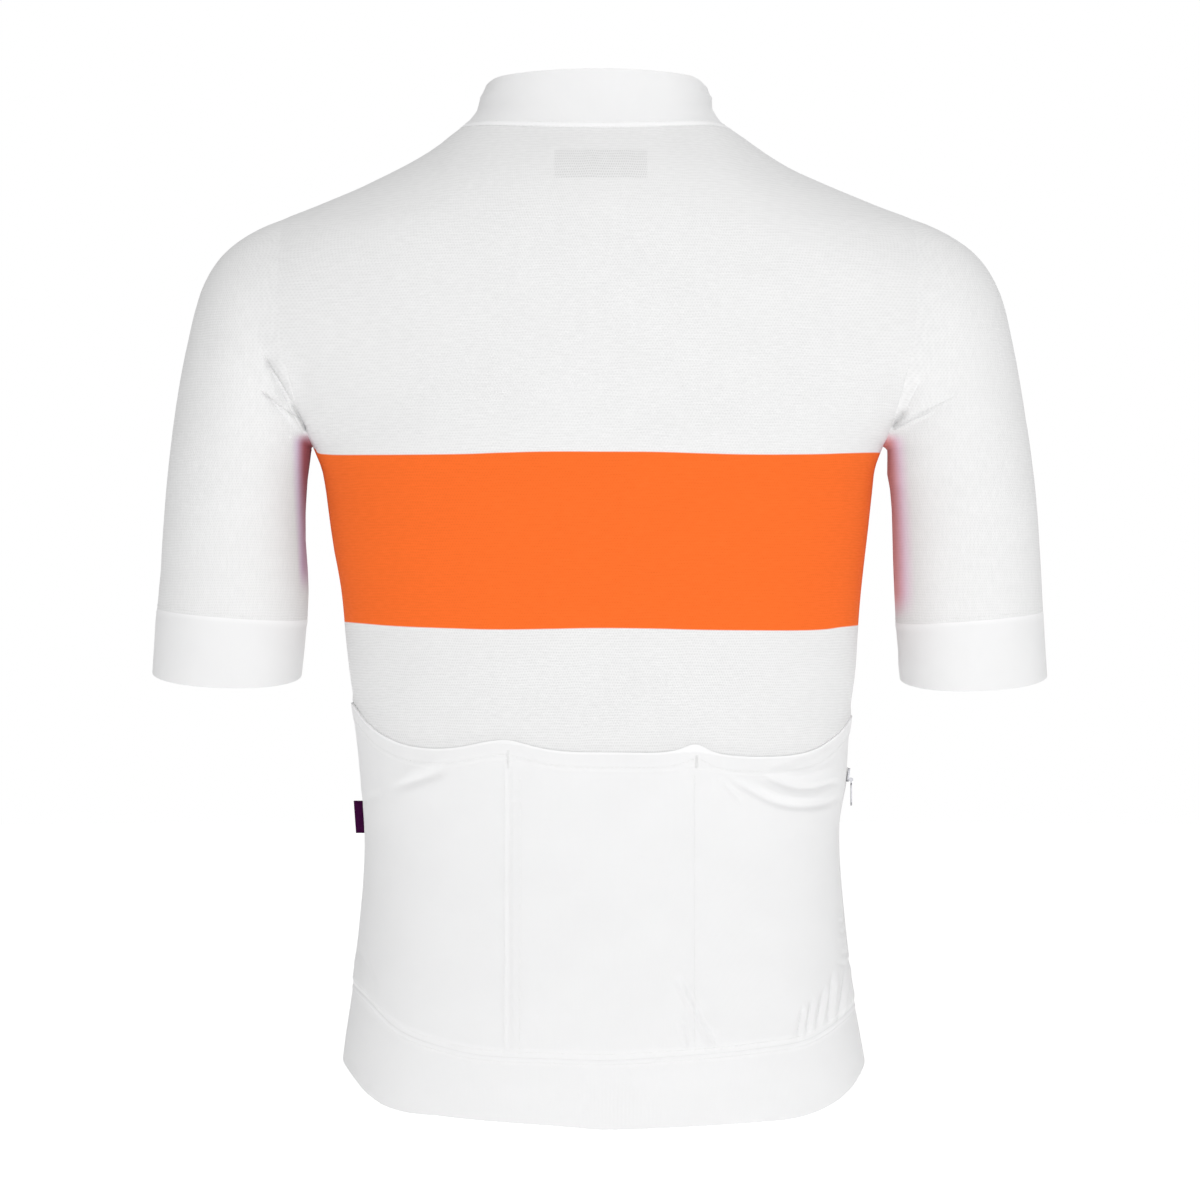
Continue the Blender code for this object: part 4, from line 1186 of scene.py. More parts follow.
BODY_SIDES: tuple[Draw, ...] = (
    Draw(((-208, 0), (-222, 2.8), (-235, 2.5), (-248, 1.6), (-261, 0.8), (-275, 0.2), (-301, 0.8),
          (-314, 0.7), (-327, 0.5), (-345, 0.8), (-360, 1.2), (-375, 1.8), (-398, 0.7), (-430, 0),
          (-470, 1.3), (-496, 1.9), (-525, 2.1), (-551, 1.3), (-577, 1.3), (-603, 1.0), (-618, -0.6)),
         -155.0, -110.0),
    Draw(((-208, 0), (-222, -2.7), (-235, -2.1), (-261, -1.8), (-301, -1.9), (-314, -1.8),
          (-327, -1.5), (-352, -0.8), (-380, -1.6), (-398, -1.3), (-418, 0), (-428, 0), (-450, -2.0),
          (-479, -2.1), (-541, -2.1), (-567, -1.3), (-590, -1.2), (-607, -0.2), (-618, 0.4)),
         155.0, 110.0),
    Draw(((-175, 0), (-168, -2.8), (-161, -4.2), (-152, -4.8), (-139, -4.0), (-129, -2.6), (-105, 0),
          (-30, 0), (0, -1.0), (30, -0.7), (105, 0), (129, -1.0), (140, -1.6), (153, -2.2),
          (162, -1.8), (172, -0.5)), -622.0, -570.0, False),
)
COLLAR_SIDES: tuple[Draw, ...] = (
    Draw(((31, 0.3), (21, -0.4), (11, 1.6), (6, 1.0), (0, -1.5), (-5, -1.2), (-20, 0)), -76.0, -45.0),
    Draw(((31, -1.4), (21, -1.4), (13, -4.7), (5, -4.2), (-1, 0.6), (-6, 0.5), (-20, 0)), 74.0, 45.0),
)


# --------------------------------------------------------------------------
# Cloth


# Gap up to which sewn edges are drawn together, gap from which they aren't, and each one's share
SEAM_REACH = 0.5
SEAM_FADE = 1.1
SEAM_SHARE = 0.48
# Creases that need finer faces are narrower and prouder than this; half widths of such faces
NARROW = 2.7
DEEP = 0.7
CREASE_SIDE = 1.3
SHARP_ANGLE = math.radians(50)
# Step between the heights that are looked at, and a ray's start and length in half breadths
LEVEL_STEP = 1.5
RAY_START = 3
RAY_REACH = 2.9


def only(thing: bpy.types.Object) -> None:
    """Select one object alone and make it the active one."""
    bpy.ops.object.select_all(action="DESELECT")
    thing.select_set(True)
    bpy.context.view_layer.objects.active = thing


@dataclass
class Cloth:
    """One sewn piece of cloth: a thin wall on its solid's form.

    Attributes:
        node: The solid that the piece stands for.
        form: Tube that the piece goes round.
        slot: Material slot; not used.
        flat: Width and length of the cut; not used.
        share: Share of that rectangle that the cut fills; not used.
        hold: How the piece is held; not used.
        rests_on: Pieces that carry it; not used.
        rounds: Rounds of subdivision.
        wraps: True if the weave map follows the tube, False if it lies flat.
    """

    node: str
    form: Form
    slot: Slot
    flat: Point2
    share: float
    hold: Hold = Hold.HUNG
    rests_on: tuple[str, ...] = ()
    rounds: int = 2
    wraps: bool = True
    made: bpy.types.Object | None = field(default=None, init=False)

    def build(self) -> None:
        """Copy the solid's form, give it smooth, even faces and lay the weave map."""
        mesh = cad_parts[self.node].data.copy()
        mesh.name = self.node + "_cloth"
        mesh.materials.clear()
        piece = bpy.data.objects.new(self.node + "_cloth", mesh)
        bpy.context.scene.collection.objects.link(piece)
        only(piece)
        bpy.ops.object.mode_set(mode="EDIT")
        bpy.ops.mesh.select_all(action="SELECT")
        bpy.ops.mesh.customdata_custom_splitnormals_clear()
        bpy.ops.mesh.remove_doubles(threshold=1e-6)
        bpy.ops.mesh.tris_convert_to_quads(face_threshold=math.pi, shape_threshold=math.pi,
                                           topology_influence=2.0)
        bpy.ops.mesh.select_all(action="DESELECT")
        bpy.ops.mesh.select_mode(type="EDGE")
        bpy.ops.mesh.edges_select_sharp(sharpness=SHARP_ANGLE)
        bpy.ops.transform.edge_crease(value=1.0)
        bpy.ops.object.mode_set(mode="OBJECT")
        smooth = piece.modifiers.new("smooth", "SUBSURF")
        smooth.levels = smooth.render_levels = self.rounds
        smooth.use_limit_surface = False
        bpy.ops.object.modifier_apply(modifier=smooth.name)
        self.made = piece
        self.weave()

    def points(self) -> np.ndarray:
        """Rows of x, y, z of the piece's points, in millimetres."""
        rows = np.empty(len(self.made.data.vertices) * 3, np.float32)
        self.made.data.vertices.foreach_get("co", rows)
        return rows.reshape(-1, 3).astype(float) / MM

    def weave(self) -> None:
        """Lay the weave map on the piece."""
        mesh = self.made.data
        points = self.points()
        corners = np.empty(len(mesh.loops), np.int32)
        mesh.loops.foreach_get("vertex_index", corners)
        if self.wraps:
            turns = self.form.turn(points)[corners]
            starts = np.empty(len(mesh.polygons), np.int32)
            totals = np.empty(len(mesh.polygons), np.int32)
            mesh.polygons.foreach_get("loop_start", starts)
            mesh.polygons.foreach_get("loop_total", totals)
            first = np.repeat(turns[starts], totals)
            turns = turns - 2 * math.pi * np.round((turns - first) / (2 * math.pi))
            across = self.form.arc(turns)
        else:
            across = points[corners, 0] + points[corners, 1]
        place = np.stack([across, points[corners, 2]], axis=1) * MM
        layer = mesh.uv_layers.get(WEAVE_MAP) or mesh.uv_layers.new(name=WEAVE_MAP)
        layer.data.foreach_set("uv", place.astype(np.float32).ravel())

    def refine(self, near: Callable[[np.ndarray], np.ndarray], rounds: int = 1) -> None:
        """Give the piece finer faces in some places.

        Args:
            near: Says which points, as rows of x, y, z in millimetres, lie there.
            rounds: How often the faces there are split.
        """
        for _ in range(rounds):
            chosen = near(self.points())
            mesh = bmesh.new()
            mesh.from_mesh(self.made.data)
            edges = {edge for face in mesh.faces if any(chosen[v.index] for v in face.verts)
                     for edge in face.edges}
            bmesh.ops.subdivide_edges(mesh, edges=list(edges), cuts=1, use_grid_fill=True)
            mesh.to_mesh(self.made.data)
            mesh.free()

    def refine_creases(self, creases: Sequence[Crease], half: Half, rounds: int = 1) -> None:
        """Give the piece finer faces along creases.

        Args:
            creases: The creases. Broad and shallow ones need no finer faces.
            half: Half of the tube that they lie on.
            rounds: How often the faces there are split.
        """
        narrow = [crease for crease in creases if crease.width < NARROW and abs(crease.proud) > DEEP]

        def near(points: np.ndarray) -> np.ndarray:
            """True for points beside a narrow crease."""
            close = np.zeros(len(points), dtype=bool)
            for crease in narrow:
                close |= crease.beside(points, CREASE_SIDE)
            return close & (self.form.facing(points, half) > 0)

        self.refine(near, rounds)

    def mark(self, *lines: Welt) -> None:
        """Note where the cloth is painted paler beside a seam, for its finish: doubled cloth, and a painted
        highlight on the welts and the pocket's rim.

        Args:
            lines: Bands of paler cloth; 1 proud is fully paler.
        """
        points = self.points()
        share = np.zeros(len(points))
        for line in lines:
            share = np.maximum(share, line.lift(points))
        layer = self.made.data.attributes.new(DOUBLED_HIGHLIGHT_MAP, "FLOAT", "POINT")
        layer.data.foreach_set("value", share.astype(np.float32))

    def close_to(self, *others: "Cloth") -> np.ndarray:
        """Moves that bring the piece's edges half-way to its neighbours' edges.

        Args:
            others: Neighbouring pieces that are sewn to this one.

        Returns:
            Rows of moves in millimetres.
        """
        moves = np.zeros((len(self.made.data.vertices), 3))
        trees = [piece.tree() for piece in others]
        for tree in trees:
            for vertex in self.made.data.vertices:
                place, _, _, away = tree.find_nearest(vertex.co, SEAM_FADE * MM)
                if place is not None and away > 0:
                    share = SEAM_SHARE * float(soft_step(away / MM, SEAM_FADE, SEAM_REACH))
                    moves[vertex.index] += share * np.array(place - vertex.co) / MM
        return moves

    def tree(self) -> BVHTree:
        """The piece's faces, made ready for looking up what is near."""
        mesh = self.made.data
        return BVHTree.FromPolygons([v.co.copy() for v in mesh.vertices],
                                    [tuple(p.vertices) for p in mesh.polygons])

    def place_at(self, points: np.ndarray) -> None:
        """Set the piece's points.

        Args:
            points: Rows of x, y, z in millimetres.
        """
        self.made.data.vertices.foreach_set("co", (points * MM).astype(np.float32).ravel())
        self.made.data.update()

    def fold(self, back: Sequence[Crease] = (), front: Sequence[Crease] = (),
             welts: Sequence[Welt] = (), taper: Taper | None = None,
             peaks: Sequence[Peak] = (), edge: Edge | None = None, form: Form | None = None) -> None:
        """Move the piece's points by creases, welts and peaks, both faces alike.

        Args:
            back: Creases of the back half.
            front: Creases of the front half.
            welts: Bands beside edges.
            taper: Pressed edges, or None.
            peaks: Peaks of the edge.
            edge: The edge that has the peaks.
            form: Tube that the creases belong to, if it isn't the piece's own.
        """
        points = self.points()
        form = form or self.form
        outward = form.outward(points)
        lift = np.zeros(len(points))
        for creases, half in ((back, Half.BACK), (front, Half.FRONT)):
            if creases:
                total = sum(crease.lift(points) for crease in creases)
                lift += total * form.facing(points, half)
        for welt in welts:
            lift += welt.lift(points)
        if taper is not None:
            normals = np.empty(len(points) * 3, np.float32)
            self.made.data.vertices.foreach_get("normal", normals)
            outside = (normals.reshape(-1, 3) * outward).sum(axis=1) > 0
            lift += taper.lift(points, outside)
        moved = points + lift[:, None] * outward
        for peak in peaks:
            moved[:, 2] += peak.rise(points, edge)
        self.place_at(moved)

    def dress(self, finish: bpy.types.Material) -> None:
        """Give the piece its finish and its place in the frame.

        Args:
            finish: The material.
        """
        only(self.made)
        bpy.ops.object.shade_smooth_by_angle(angle=SHARP_ANGLE)
        self.made.data.materials.append(finish)
        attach(self.made, Body.JERSEY.value)
        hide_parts(self.node)
        LOG.info("%s: %d faces", self.made.name, len(self.made.data.polygons))


def cast(tree: BVHTree, start: Sequence[float], way: Sequence[float], reach: float = 300.0) -> Hit | None:
    """Meet the cloth along a ray.

    Args:
        tree: Faces of the cloth.
        start: Where the ray starts, in millimetres.
        way: Its way.
        reach: Its length, in millimetres.

    Returns:
        The point in metres and the way out of the cloth, or None.
    """
    place, normal, _, _ = tree.ray_cast(Vector(start) * MM, Vector(way), reach * MM)
    return None if place is None else (place, normal)


class Skin:
    """Finished cloth, as a ray from outside meets it."""

    def __init__(self, form: Form, *pieces: Cloth) -> None:
        """Take the pieces' faces as they are now."""
        self.form = form
        vertices: list[Vector] = []
        faces: list[tuple[int, ...]] = []
        for piece in pieces:
            base = len(vertices)
            vertices += [v.co.copy() for v in piece.made.data.vertices]
            faces += [tuple(base + i for i in p.vertices) for p in piece.made.data.polygons]
        self.tree = BVHTree.FromPolygons(vertices, faces)

    def touch(self, turn: float, height: float) -> Hit | None:
        """Meet the cloth at one turn and height.

        Args:
            turn: Turn about the middle of the weave map.
            height: Height in millimetres.

        Returns:
            The point in metres and the way out of the cloth, or None.
        """
        angle = turn + self.form.seam_turn
        way = Vector((self.form.breadth * math.cos(angle), self.form.depth * math.sin(angle), 0))
        axis = Vector((self.form.out, self.form.deep, height))
        start = axis + way.normalized() * RAY_START * self.form.breadth
        return cast(self.tree, start, -way.normalized(), RAY_REACH * self.form.breadth)

    def edge(self, zone: Point2, turns: np.ndarray, upper: bool) -> Edge:
        """Find the upper or lower edge of the cloth at each turn.

        Args:
            zone: Heights between which it is looked for.
            turns: The turns that are looked at.
            upper: True for the upper edge.

        Returns:
            The edge, at the turns where there is cloth.
        """
        kept, heights = [], []
        levels = np.arange(*zone, LEVEL_STEP)
        for turn in turns:
            found = [level for level in levels if self.touch(float(turn), level) is not None]
            if not found:
                continue
            good = found[-1] if upper else found[0]
            bad = good + LEVEL_STEP if upper else good - LEVEL_STEP
            for _ in range(7):
                middle = (good + bad) / 2
                if self.touch(float(turn), middle) is None:
                    bad = middle
                else:
                    good = middle
            kept.append(turn)
            heights.append(good)
        return Edge(self.form, np.array(kept), np.array(heights))

    def track(self, edge: Edge, above: float, closed: bool = False) -> "Track":
        """Line on the cloth beside an edge.

        Args:
            edge: The edge.
            above: Height of the line above the edge.
            closed: True if the line comes back to its start.

        Returns:
            The line.
        """
        return Track.through([self.touch(float(turn), float(height + above))
                              for turn, height in zip(edge.turns, edge.heights)], closed)

    def upright(self, across: float, low: float, high: float, half: Half, gap: float = 2.0) -> "Track":
        """Upright line on the back or the front of the cloth.

        Args:
            across: Where it runs.
            low: Its lower end.
            high: Its upper end.
            half: Back or front.
            gap: Distance between two of its points.

        Returns:
            The line, from its lower end up.
        """
        way = (0, -half.value, 0)
        return Track.through([cast(self.tree, (across, half.value * 300.0, height), way)
                              for height in np.arange(low, high, gap)])


# --------------------------------------------------------------------------
# Threads


# Shares of a step: left free at a line's end, and looked ahead and back for the way along
LAST_STEP = 0.2
AIM_STEP = 0.3
# Sides of a thread arc, each its run and its rise
ARC_SIDES = ((0.28, 0.7), (0.44, 0.0), (0.28, -0.7))


@dataclass
class Track:
    """Line on the cloth: its points in millimetres and the way out at each."""

    places: np.ndarray
    ways: np.ndarray
    closed: bool = False

    @classmethod
    def through(cls, hits: Sequence[Hit | None], closed: bool = False) -> "Track":
        """Line through the points where rays meet the cloth.

        Args:
            hits: The points with the ways out there, or None where a ray meets nothing.
            closed: True if the line comes back to its start.

        Returns:
            The line.
        """
        met = [hit for hit in hits if hit is not None]
        places, ways = (np.array([hit[i][:] for hit in met]) for i in (0, 1))
        return cls(places / MM, ways, closed)

    def walk(self, pitch: float, start: float = 0.0) -> Steps:
        """Even steps along the line.

        Args:
            pitch: Length of a step.
            start: Where the first step ends.

        Returns:
            Rows of places, ways along and ways out.
        """
        line, ways = self.places, self.ways
        if self.closed:
            line, ways = np.vstack([line, line[:1]]), np.vstack([ways, ways[:1]])
        run = np.concatenate([[0], np.cumsum(np.linalg.norm(np.diff(line, axis=0), axis=1))])
        at = np.arange(start, run[-1] - LAST_STEP * pitch, pitch)

        def read(rows: np.ndarray, where: np.ndarray) -> np.ndarray:
            """Rows at these distances along the line."""
            return np.stack([np.interp(where, run, rows[:, i]) for i in range(3)], 1)

        ahead = read(line, np.minimum(at + AIM_STEP * pitch, run[-1]))
        along = ahead - read(line, np.maximum(at - AIM_STEP * pitch, 0))
        return read(line, at), unit(along), unit(read(ways, at))


def unit(rows: np.ndarray) -> np.ndarray:
    """Rows made one long."""
    return rows / np.maximum(np.linalg.norm(rows, axis=1, keepdims=True), 1e-9)


class ThreadShop:
    """Models one thread arc and copies it along lines on the cloth."""

    def __init__(self, sides: int = 5) -> None:
        """Model the arc: it comes up out of the cloth and dips back in."""
        bpy.ops.object.select_all(action="DESELECT")
        bpy.ops.mesh.primitive_circle_add(vertices=sides, radius=0.5, fill_type="NGON",
                                          location=(-0.5, 0, -0.5), rotation=(0, math.pi / 2, 0))
        arc = bpy.context.active_object
        bpy.ops.object.transform_apply(location=True, rotation=True, scale=True)
        bpy.ops.object.mode_set(mode="EDIT")
        bpy.ops.mesh.select_all(action="SELECT")
        for run, rise in ARC_SIDES:
            bpy.ops.mesh.extrude_region_move(TRANSFORM_OT_translate={"value": (run, 0, rise)})
        bpy.ops.mesh.select_all(action="SELECT")
        bpy.ops.mesh.normals_make_consistent(inside=False)
        bpy.ops.object.mode_set(mode="OBJECT")
        self.shape = np.array([v.co[:] for v in arc.data.vertices])
        self.faces = [tuple(p.vertices) for p in arc.data.polygons]
        bpy.data.objects.remove(arc, do_unlink=True)

    def sew(self, name: str, steps: Sequence[Steps], long: float, thick: float,
            finish: bpy.types.Material, flat: float = 1.0) -> None:
        """Lay an arc at every step.

        Args:
            name: Name of the new object.
            steps: Groups of places, ways along and ways out.
            long: Length of an arc.
            thick: Thickness of its thread.
            finish: The thread's material.
            flat: Height of an arc as a share of a round thread's.
        """
        place, along, out = (np.vstack([group[i] for group in steps]) for i in range(3))
        side = unit(np.cross(out, along))
        x, y, z = (self.shape[:, i][None, :, None] for i in range(3))
        points = (place[:, None] + along[:, None] * x * long + side[:, None] * y * thick
                  + out[:, None] * z * thick * flat) * MM
        count = len(self.shape)
        mesh = bpy.data.meshes.new(name)
        mesh.from_pydata(points.reshape(-1, 3), [], [
            tuple(copy * count + i for i in face) for copy in range(len(place)) for face in self.faces])
        mesh.shade_smooth()
        mesh.materials.append(finish)
        threads = bpy.data.objects.new(name, mesh)
        bpy.context.scene.collection.objects.link(threads)
        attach(threads, Body.JERSEY.value)
        LOG.info("%s: %d arcs", name, len(place))


# --------------------------------------------------------------------------
# Sub-assemblies


# Zones of height in which an edge of a piece is looked for
POCKET_TOP = (-460.0, -360.0)
POCKET_FOOT = (-620.0, -500.0)
HEM_TOP = (-650.0, -500.0)
NECK_SEAM = (-68.0, 20.0)
NECK_TOP = (-10.0, 60.0)
CUFF_TOP = (-345.0, -300.0)
# Turn left free on each side of the collar's opening, and half the turn of the pocket panel
NECK_OPENING = 0.12
POCKET_TURN = 1.56


def around(count: int, opening: float = 0.0, endpoint: bool = True) -> np.ndarray:
    """Even turns all round a tube, but for an opening at its front."""
    return np.linspace(opening - math.pi, math.pi - opening, count, endpoint=endpoint)


def cut(*sizes: object, **held: object) -> Cloth:
    """Field of a dataclass that holds a fresh piece of cloth."""
    return field(default_factory=lambda: Cloth(*sizes, **held))


class Group:
    """Sub-assembly whose fields hold pieces of cloth."""

    @property
    def pieces(self) -> list[Cloth]:
        """The pieces of cloth among the fields."""
        return [value for value in vars(self).values() if isinstance(value, Cloth)]

    def build(self) -> None:
        """Make the pieces."""
        for piece in self.pieces:
            piece.build()


@dataclass
class BodyPanels(Group):
    """Back and the two fronts, cut in fine knit with a printed band."""

    back: Cloth = cut("back_panel", TORSO, Slot.KNIT, (494, 610), 0.863)
    left: Cloth = cut("front_left", TORSO, Slot.KNIT, (248, 560), 0.815)
    right: Cloth = cut("front_right", TORSO, Slot.KNIT, (248, 560), 0.822)

    def fold(self, pocket_top: Edge) -> None:
        """Crease the panels, and ease the back over the edge of the pocket panel.

        Args:
            pocket_top: Upper edge of the pocket panel.
        """
        ramp = Welt(pocket_top, 0.2, 0.5, 1.0, 1.1, 6.0)
        self.back.refine(lambda points: (ramp.share(points) > 0) & (points[:, 1] < 0), 2)
        self.back.refine_creases((*LEFT_ARM_CREASES, *RIGHT_ARM_CREASES), Half.BACK, 2)
        self.back.fold(BACK_CREASES, welts=(ramp,))
        self.back.fold(LEFT_ARM_CREASES, form=LEFT_ARM)
        self.back.fold(RIGHT_ARM_CREASES, form=RIGHT_ARM)
        for piece in (self.left, self.right):
            piece.refine_creases(FRONT_CREASES, Half.FRONT)
            piece.fold(front=FRONT_CREASES)

    def dress(self) -> None:
        """Give the panels their finish."""
        knit = KnitFinish("body_knit", band=Band(), patch=Patch()).make()
        for piece in self.pieces:
            piece.dress(knit)


@dataclass
class Sleeves(Group):
    """Two set-in sleeves with their wide flat cuffs.

    Attributes:
        left: Left sleeve.
        right: Right sleeve.
        left_cuff: Left cuff.
        right_cuff: Right cuff.
        left_painted_bounce: Painted bounce light from the band and painted shade on the left sleeve, beside
            the band.
        right_painted_bounce: The same on the right sleeve.
        dash: Width and height of the yarn's dashes, which run down a sleeve.
    """

    left: Cloth = cut("sleeve_left", LEFT_ARM, Slot.KNIT, (440, 289), 0.521, rounds=3)
    right: Cloth = cut("sleeve_right", RIGHT_ARM, Slot.KNIT, (440, 292), 0.523, rounds=3)
    left_cuff: Cloth = cut("cuff_left", LEFT_ARM, Slot.SMOOTH, (313, 41), 1.0, Hold.STRETCHED,
                           rounds=3)
    right_cuff: Cloth = cut("cuff_right", RIGHT_ARM, Slot.SMOOTH, (313, 41), 1.0, Hold.STRETCHED,
                            rounds=3)
    # Painted bounce light from the band, darkened by painted shade at each sleeve's inner edge.
    left_painted_bounce: PaintedBounce = PaintedBounce(
        -1, 190.6, 1.8, 6.4, 3.2, (0.44, 0.13, 0.15), (0.67, 0.51, 0.67), 0.25)
    right_painted_bounce: PaintedBounce = PaintedBounce(
        1, 189.0, 6.0, 9.0, 9.6, (0.78, 0.30, 0.28), (0.87, 0.63, 0.78), 0.9, -322.0)
    dash: Point2 = (1.3, 9.0)

    def fold(self) -> None:
        """Crease the sleeves."""
        for piece, creases in ((self.left, LEFT_ARM_CREASES), (self.right, RIGHT_ARM_CREASES)):
            piece.refine_creases(creases, Half.BACK, 2)
            piece.fold(creases)
        for cuff in (self.left_cuff, self.right_cuff):
            top = Skin(cuff.form, cuff).edge(CUFF_TOP, around(120), upper=True)
            cuff.fold(welts=(Welt(top, -2.6, -0.6, 0.3),))
            # Paler band at the cuff seam: doubled cloth and painted highlight.
            cuff.mark(Welt(top, -2.6, 1.2, 0.85, 0.8))

    def dress(self, smooth: bpy.types.Material) -> None:
        """Give the sleeves and cuffs their finishes.

        Args:
            smooth: Finish of the cuffs.
        """
        # Each sleeve's knit carries the painted bounce light and painted shade.
        left = KnitFinish("left_sleeve_knit", dash=self.dash, painted_bounce=self.left_painted_bounce)
        right = KnitFinish("right_sleeve_knit", dash=self.dash, painted_bounce=self.right_painted_bounce)
        self.left.dress(left.make())
        self.right.dress(right.make())
        self.left_cuff.dress(smooth)
        self.right_cuff.dress(smooth)


@dataclass
class Bands(Group):
    """Stand collar, hem band and rear pocket panel, cut in smooth cloth."""

    collar: Cloth = cut("collar", NECK, Slot.SMOOTH, (512, 42), 0.777, rounds=3)
    hem: Cloth = cut("hem_band", TORSO, Slot.SMOOTH, (899, 46), 0.966, Hold.STRETCHED, rounds=3)
    pockets: Cloth = cut("pocket_panel", TORSO, Slot.SMOOTH, (459, 200), 0.854,
                         rests_on=("back_panel_cloth",), rounds=3)

    def pocket_edge(self, zone: Point2, count: int, upper: bool) -> Edge:
        """Upper or lower edge of the pocket panel, looked for in a zone of heights."""
        turns = np.linspace(-POCKET_TURN, POCKET_TURN, count)
        return Skin(TORSO, self.pockets).edge(zone, turns, upper)

    def fold(self, pocket_top: Edge) -> None:
        """Crease the pieces.

        Args:
            pocket_top: Upper edge of the pocket panel.
        """
        hem_seam = self.pocket_edge(POCKET_FOOT, 240, upper=False)
        hem_top = Skin(TORSO, self.hem).edge(HEM_TOP, around(420, 0.02), upper=True)
        neck = Skin(NECK, self.collar)
        neck_seam = neck.edge(NECK_SEAM, around(200, NECK_OPENING), upper=False)
        neck_top = neck.edge(NECK_TOP, around(200, NECK_OPENING), upper=True)
        self.pockets.refine_creases(POCKET_CREASES, Half.BACK)
        self.pockets.fold(
            POCKET_CREASES,
            welts=(Welt(pocket_top, -11.0, 3.0, 0.3), Welt(hem_seam, -0.5, 0.5, -0.04, 0.5, 0.7, -0.3)),
            taper=Taper(hem_seam), peaks=PEAKS, edge=pocket_top)
        # Paler rim and hem seam of the pocket panel: doubled cloth and painted highlight.
        self.pockets.mark(Welt(pocket_top, -1.0, 6.0, 0.8, 0.8),
                          Welt(hem_seam, 2.4, 3.6, 0.3, 0.8, 0.8, 0.5))
        self.hem.fold(
            HEM_PUCKERS.creases(),
            welts=(Welt(hem_top, -3.4, -1.0, 0.25, 1.4, 0.7),
                   Welt(hem_top, -0.5, 0.5, -0.04, 0.7, 0.5, -0.3)))
        # Paler band below the hem seam: doubled cloth and painted highlight.
        self.hem.mark(Welt(hem_top, -3.2, -1.2, 0.3, 1.2, 0.6, 0.6))
        self.collar.fold(welts=(Welt(neck_seam, 0.6, 2.8, 0.55, 0.7, 1.2),),
                         peaks=COLLAR_CORNERS, edge=neck_top)
        # Paler welt above the neck seam: doubled cloth and painted highlight.
        self.collar.mark(Welt(neck_seam, 0.4, 2.8, 1.0, 0.5, 1.2))

    def dress(self, smooth: bpy.types.Material) -> None:
        """Give the pieces their finish."""
        for piece in self.pieces:
            piece.dress(smooth)


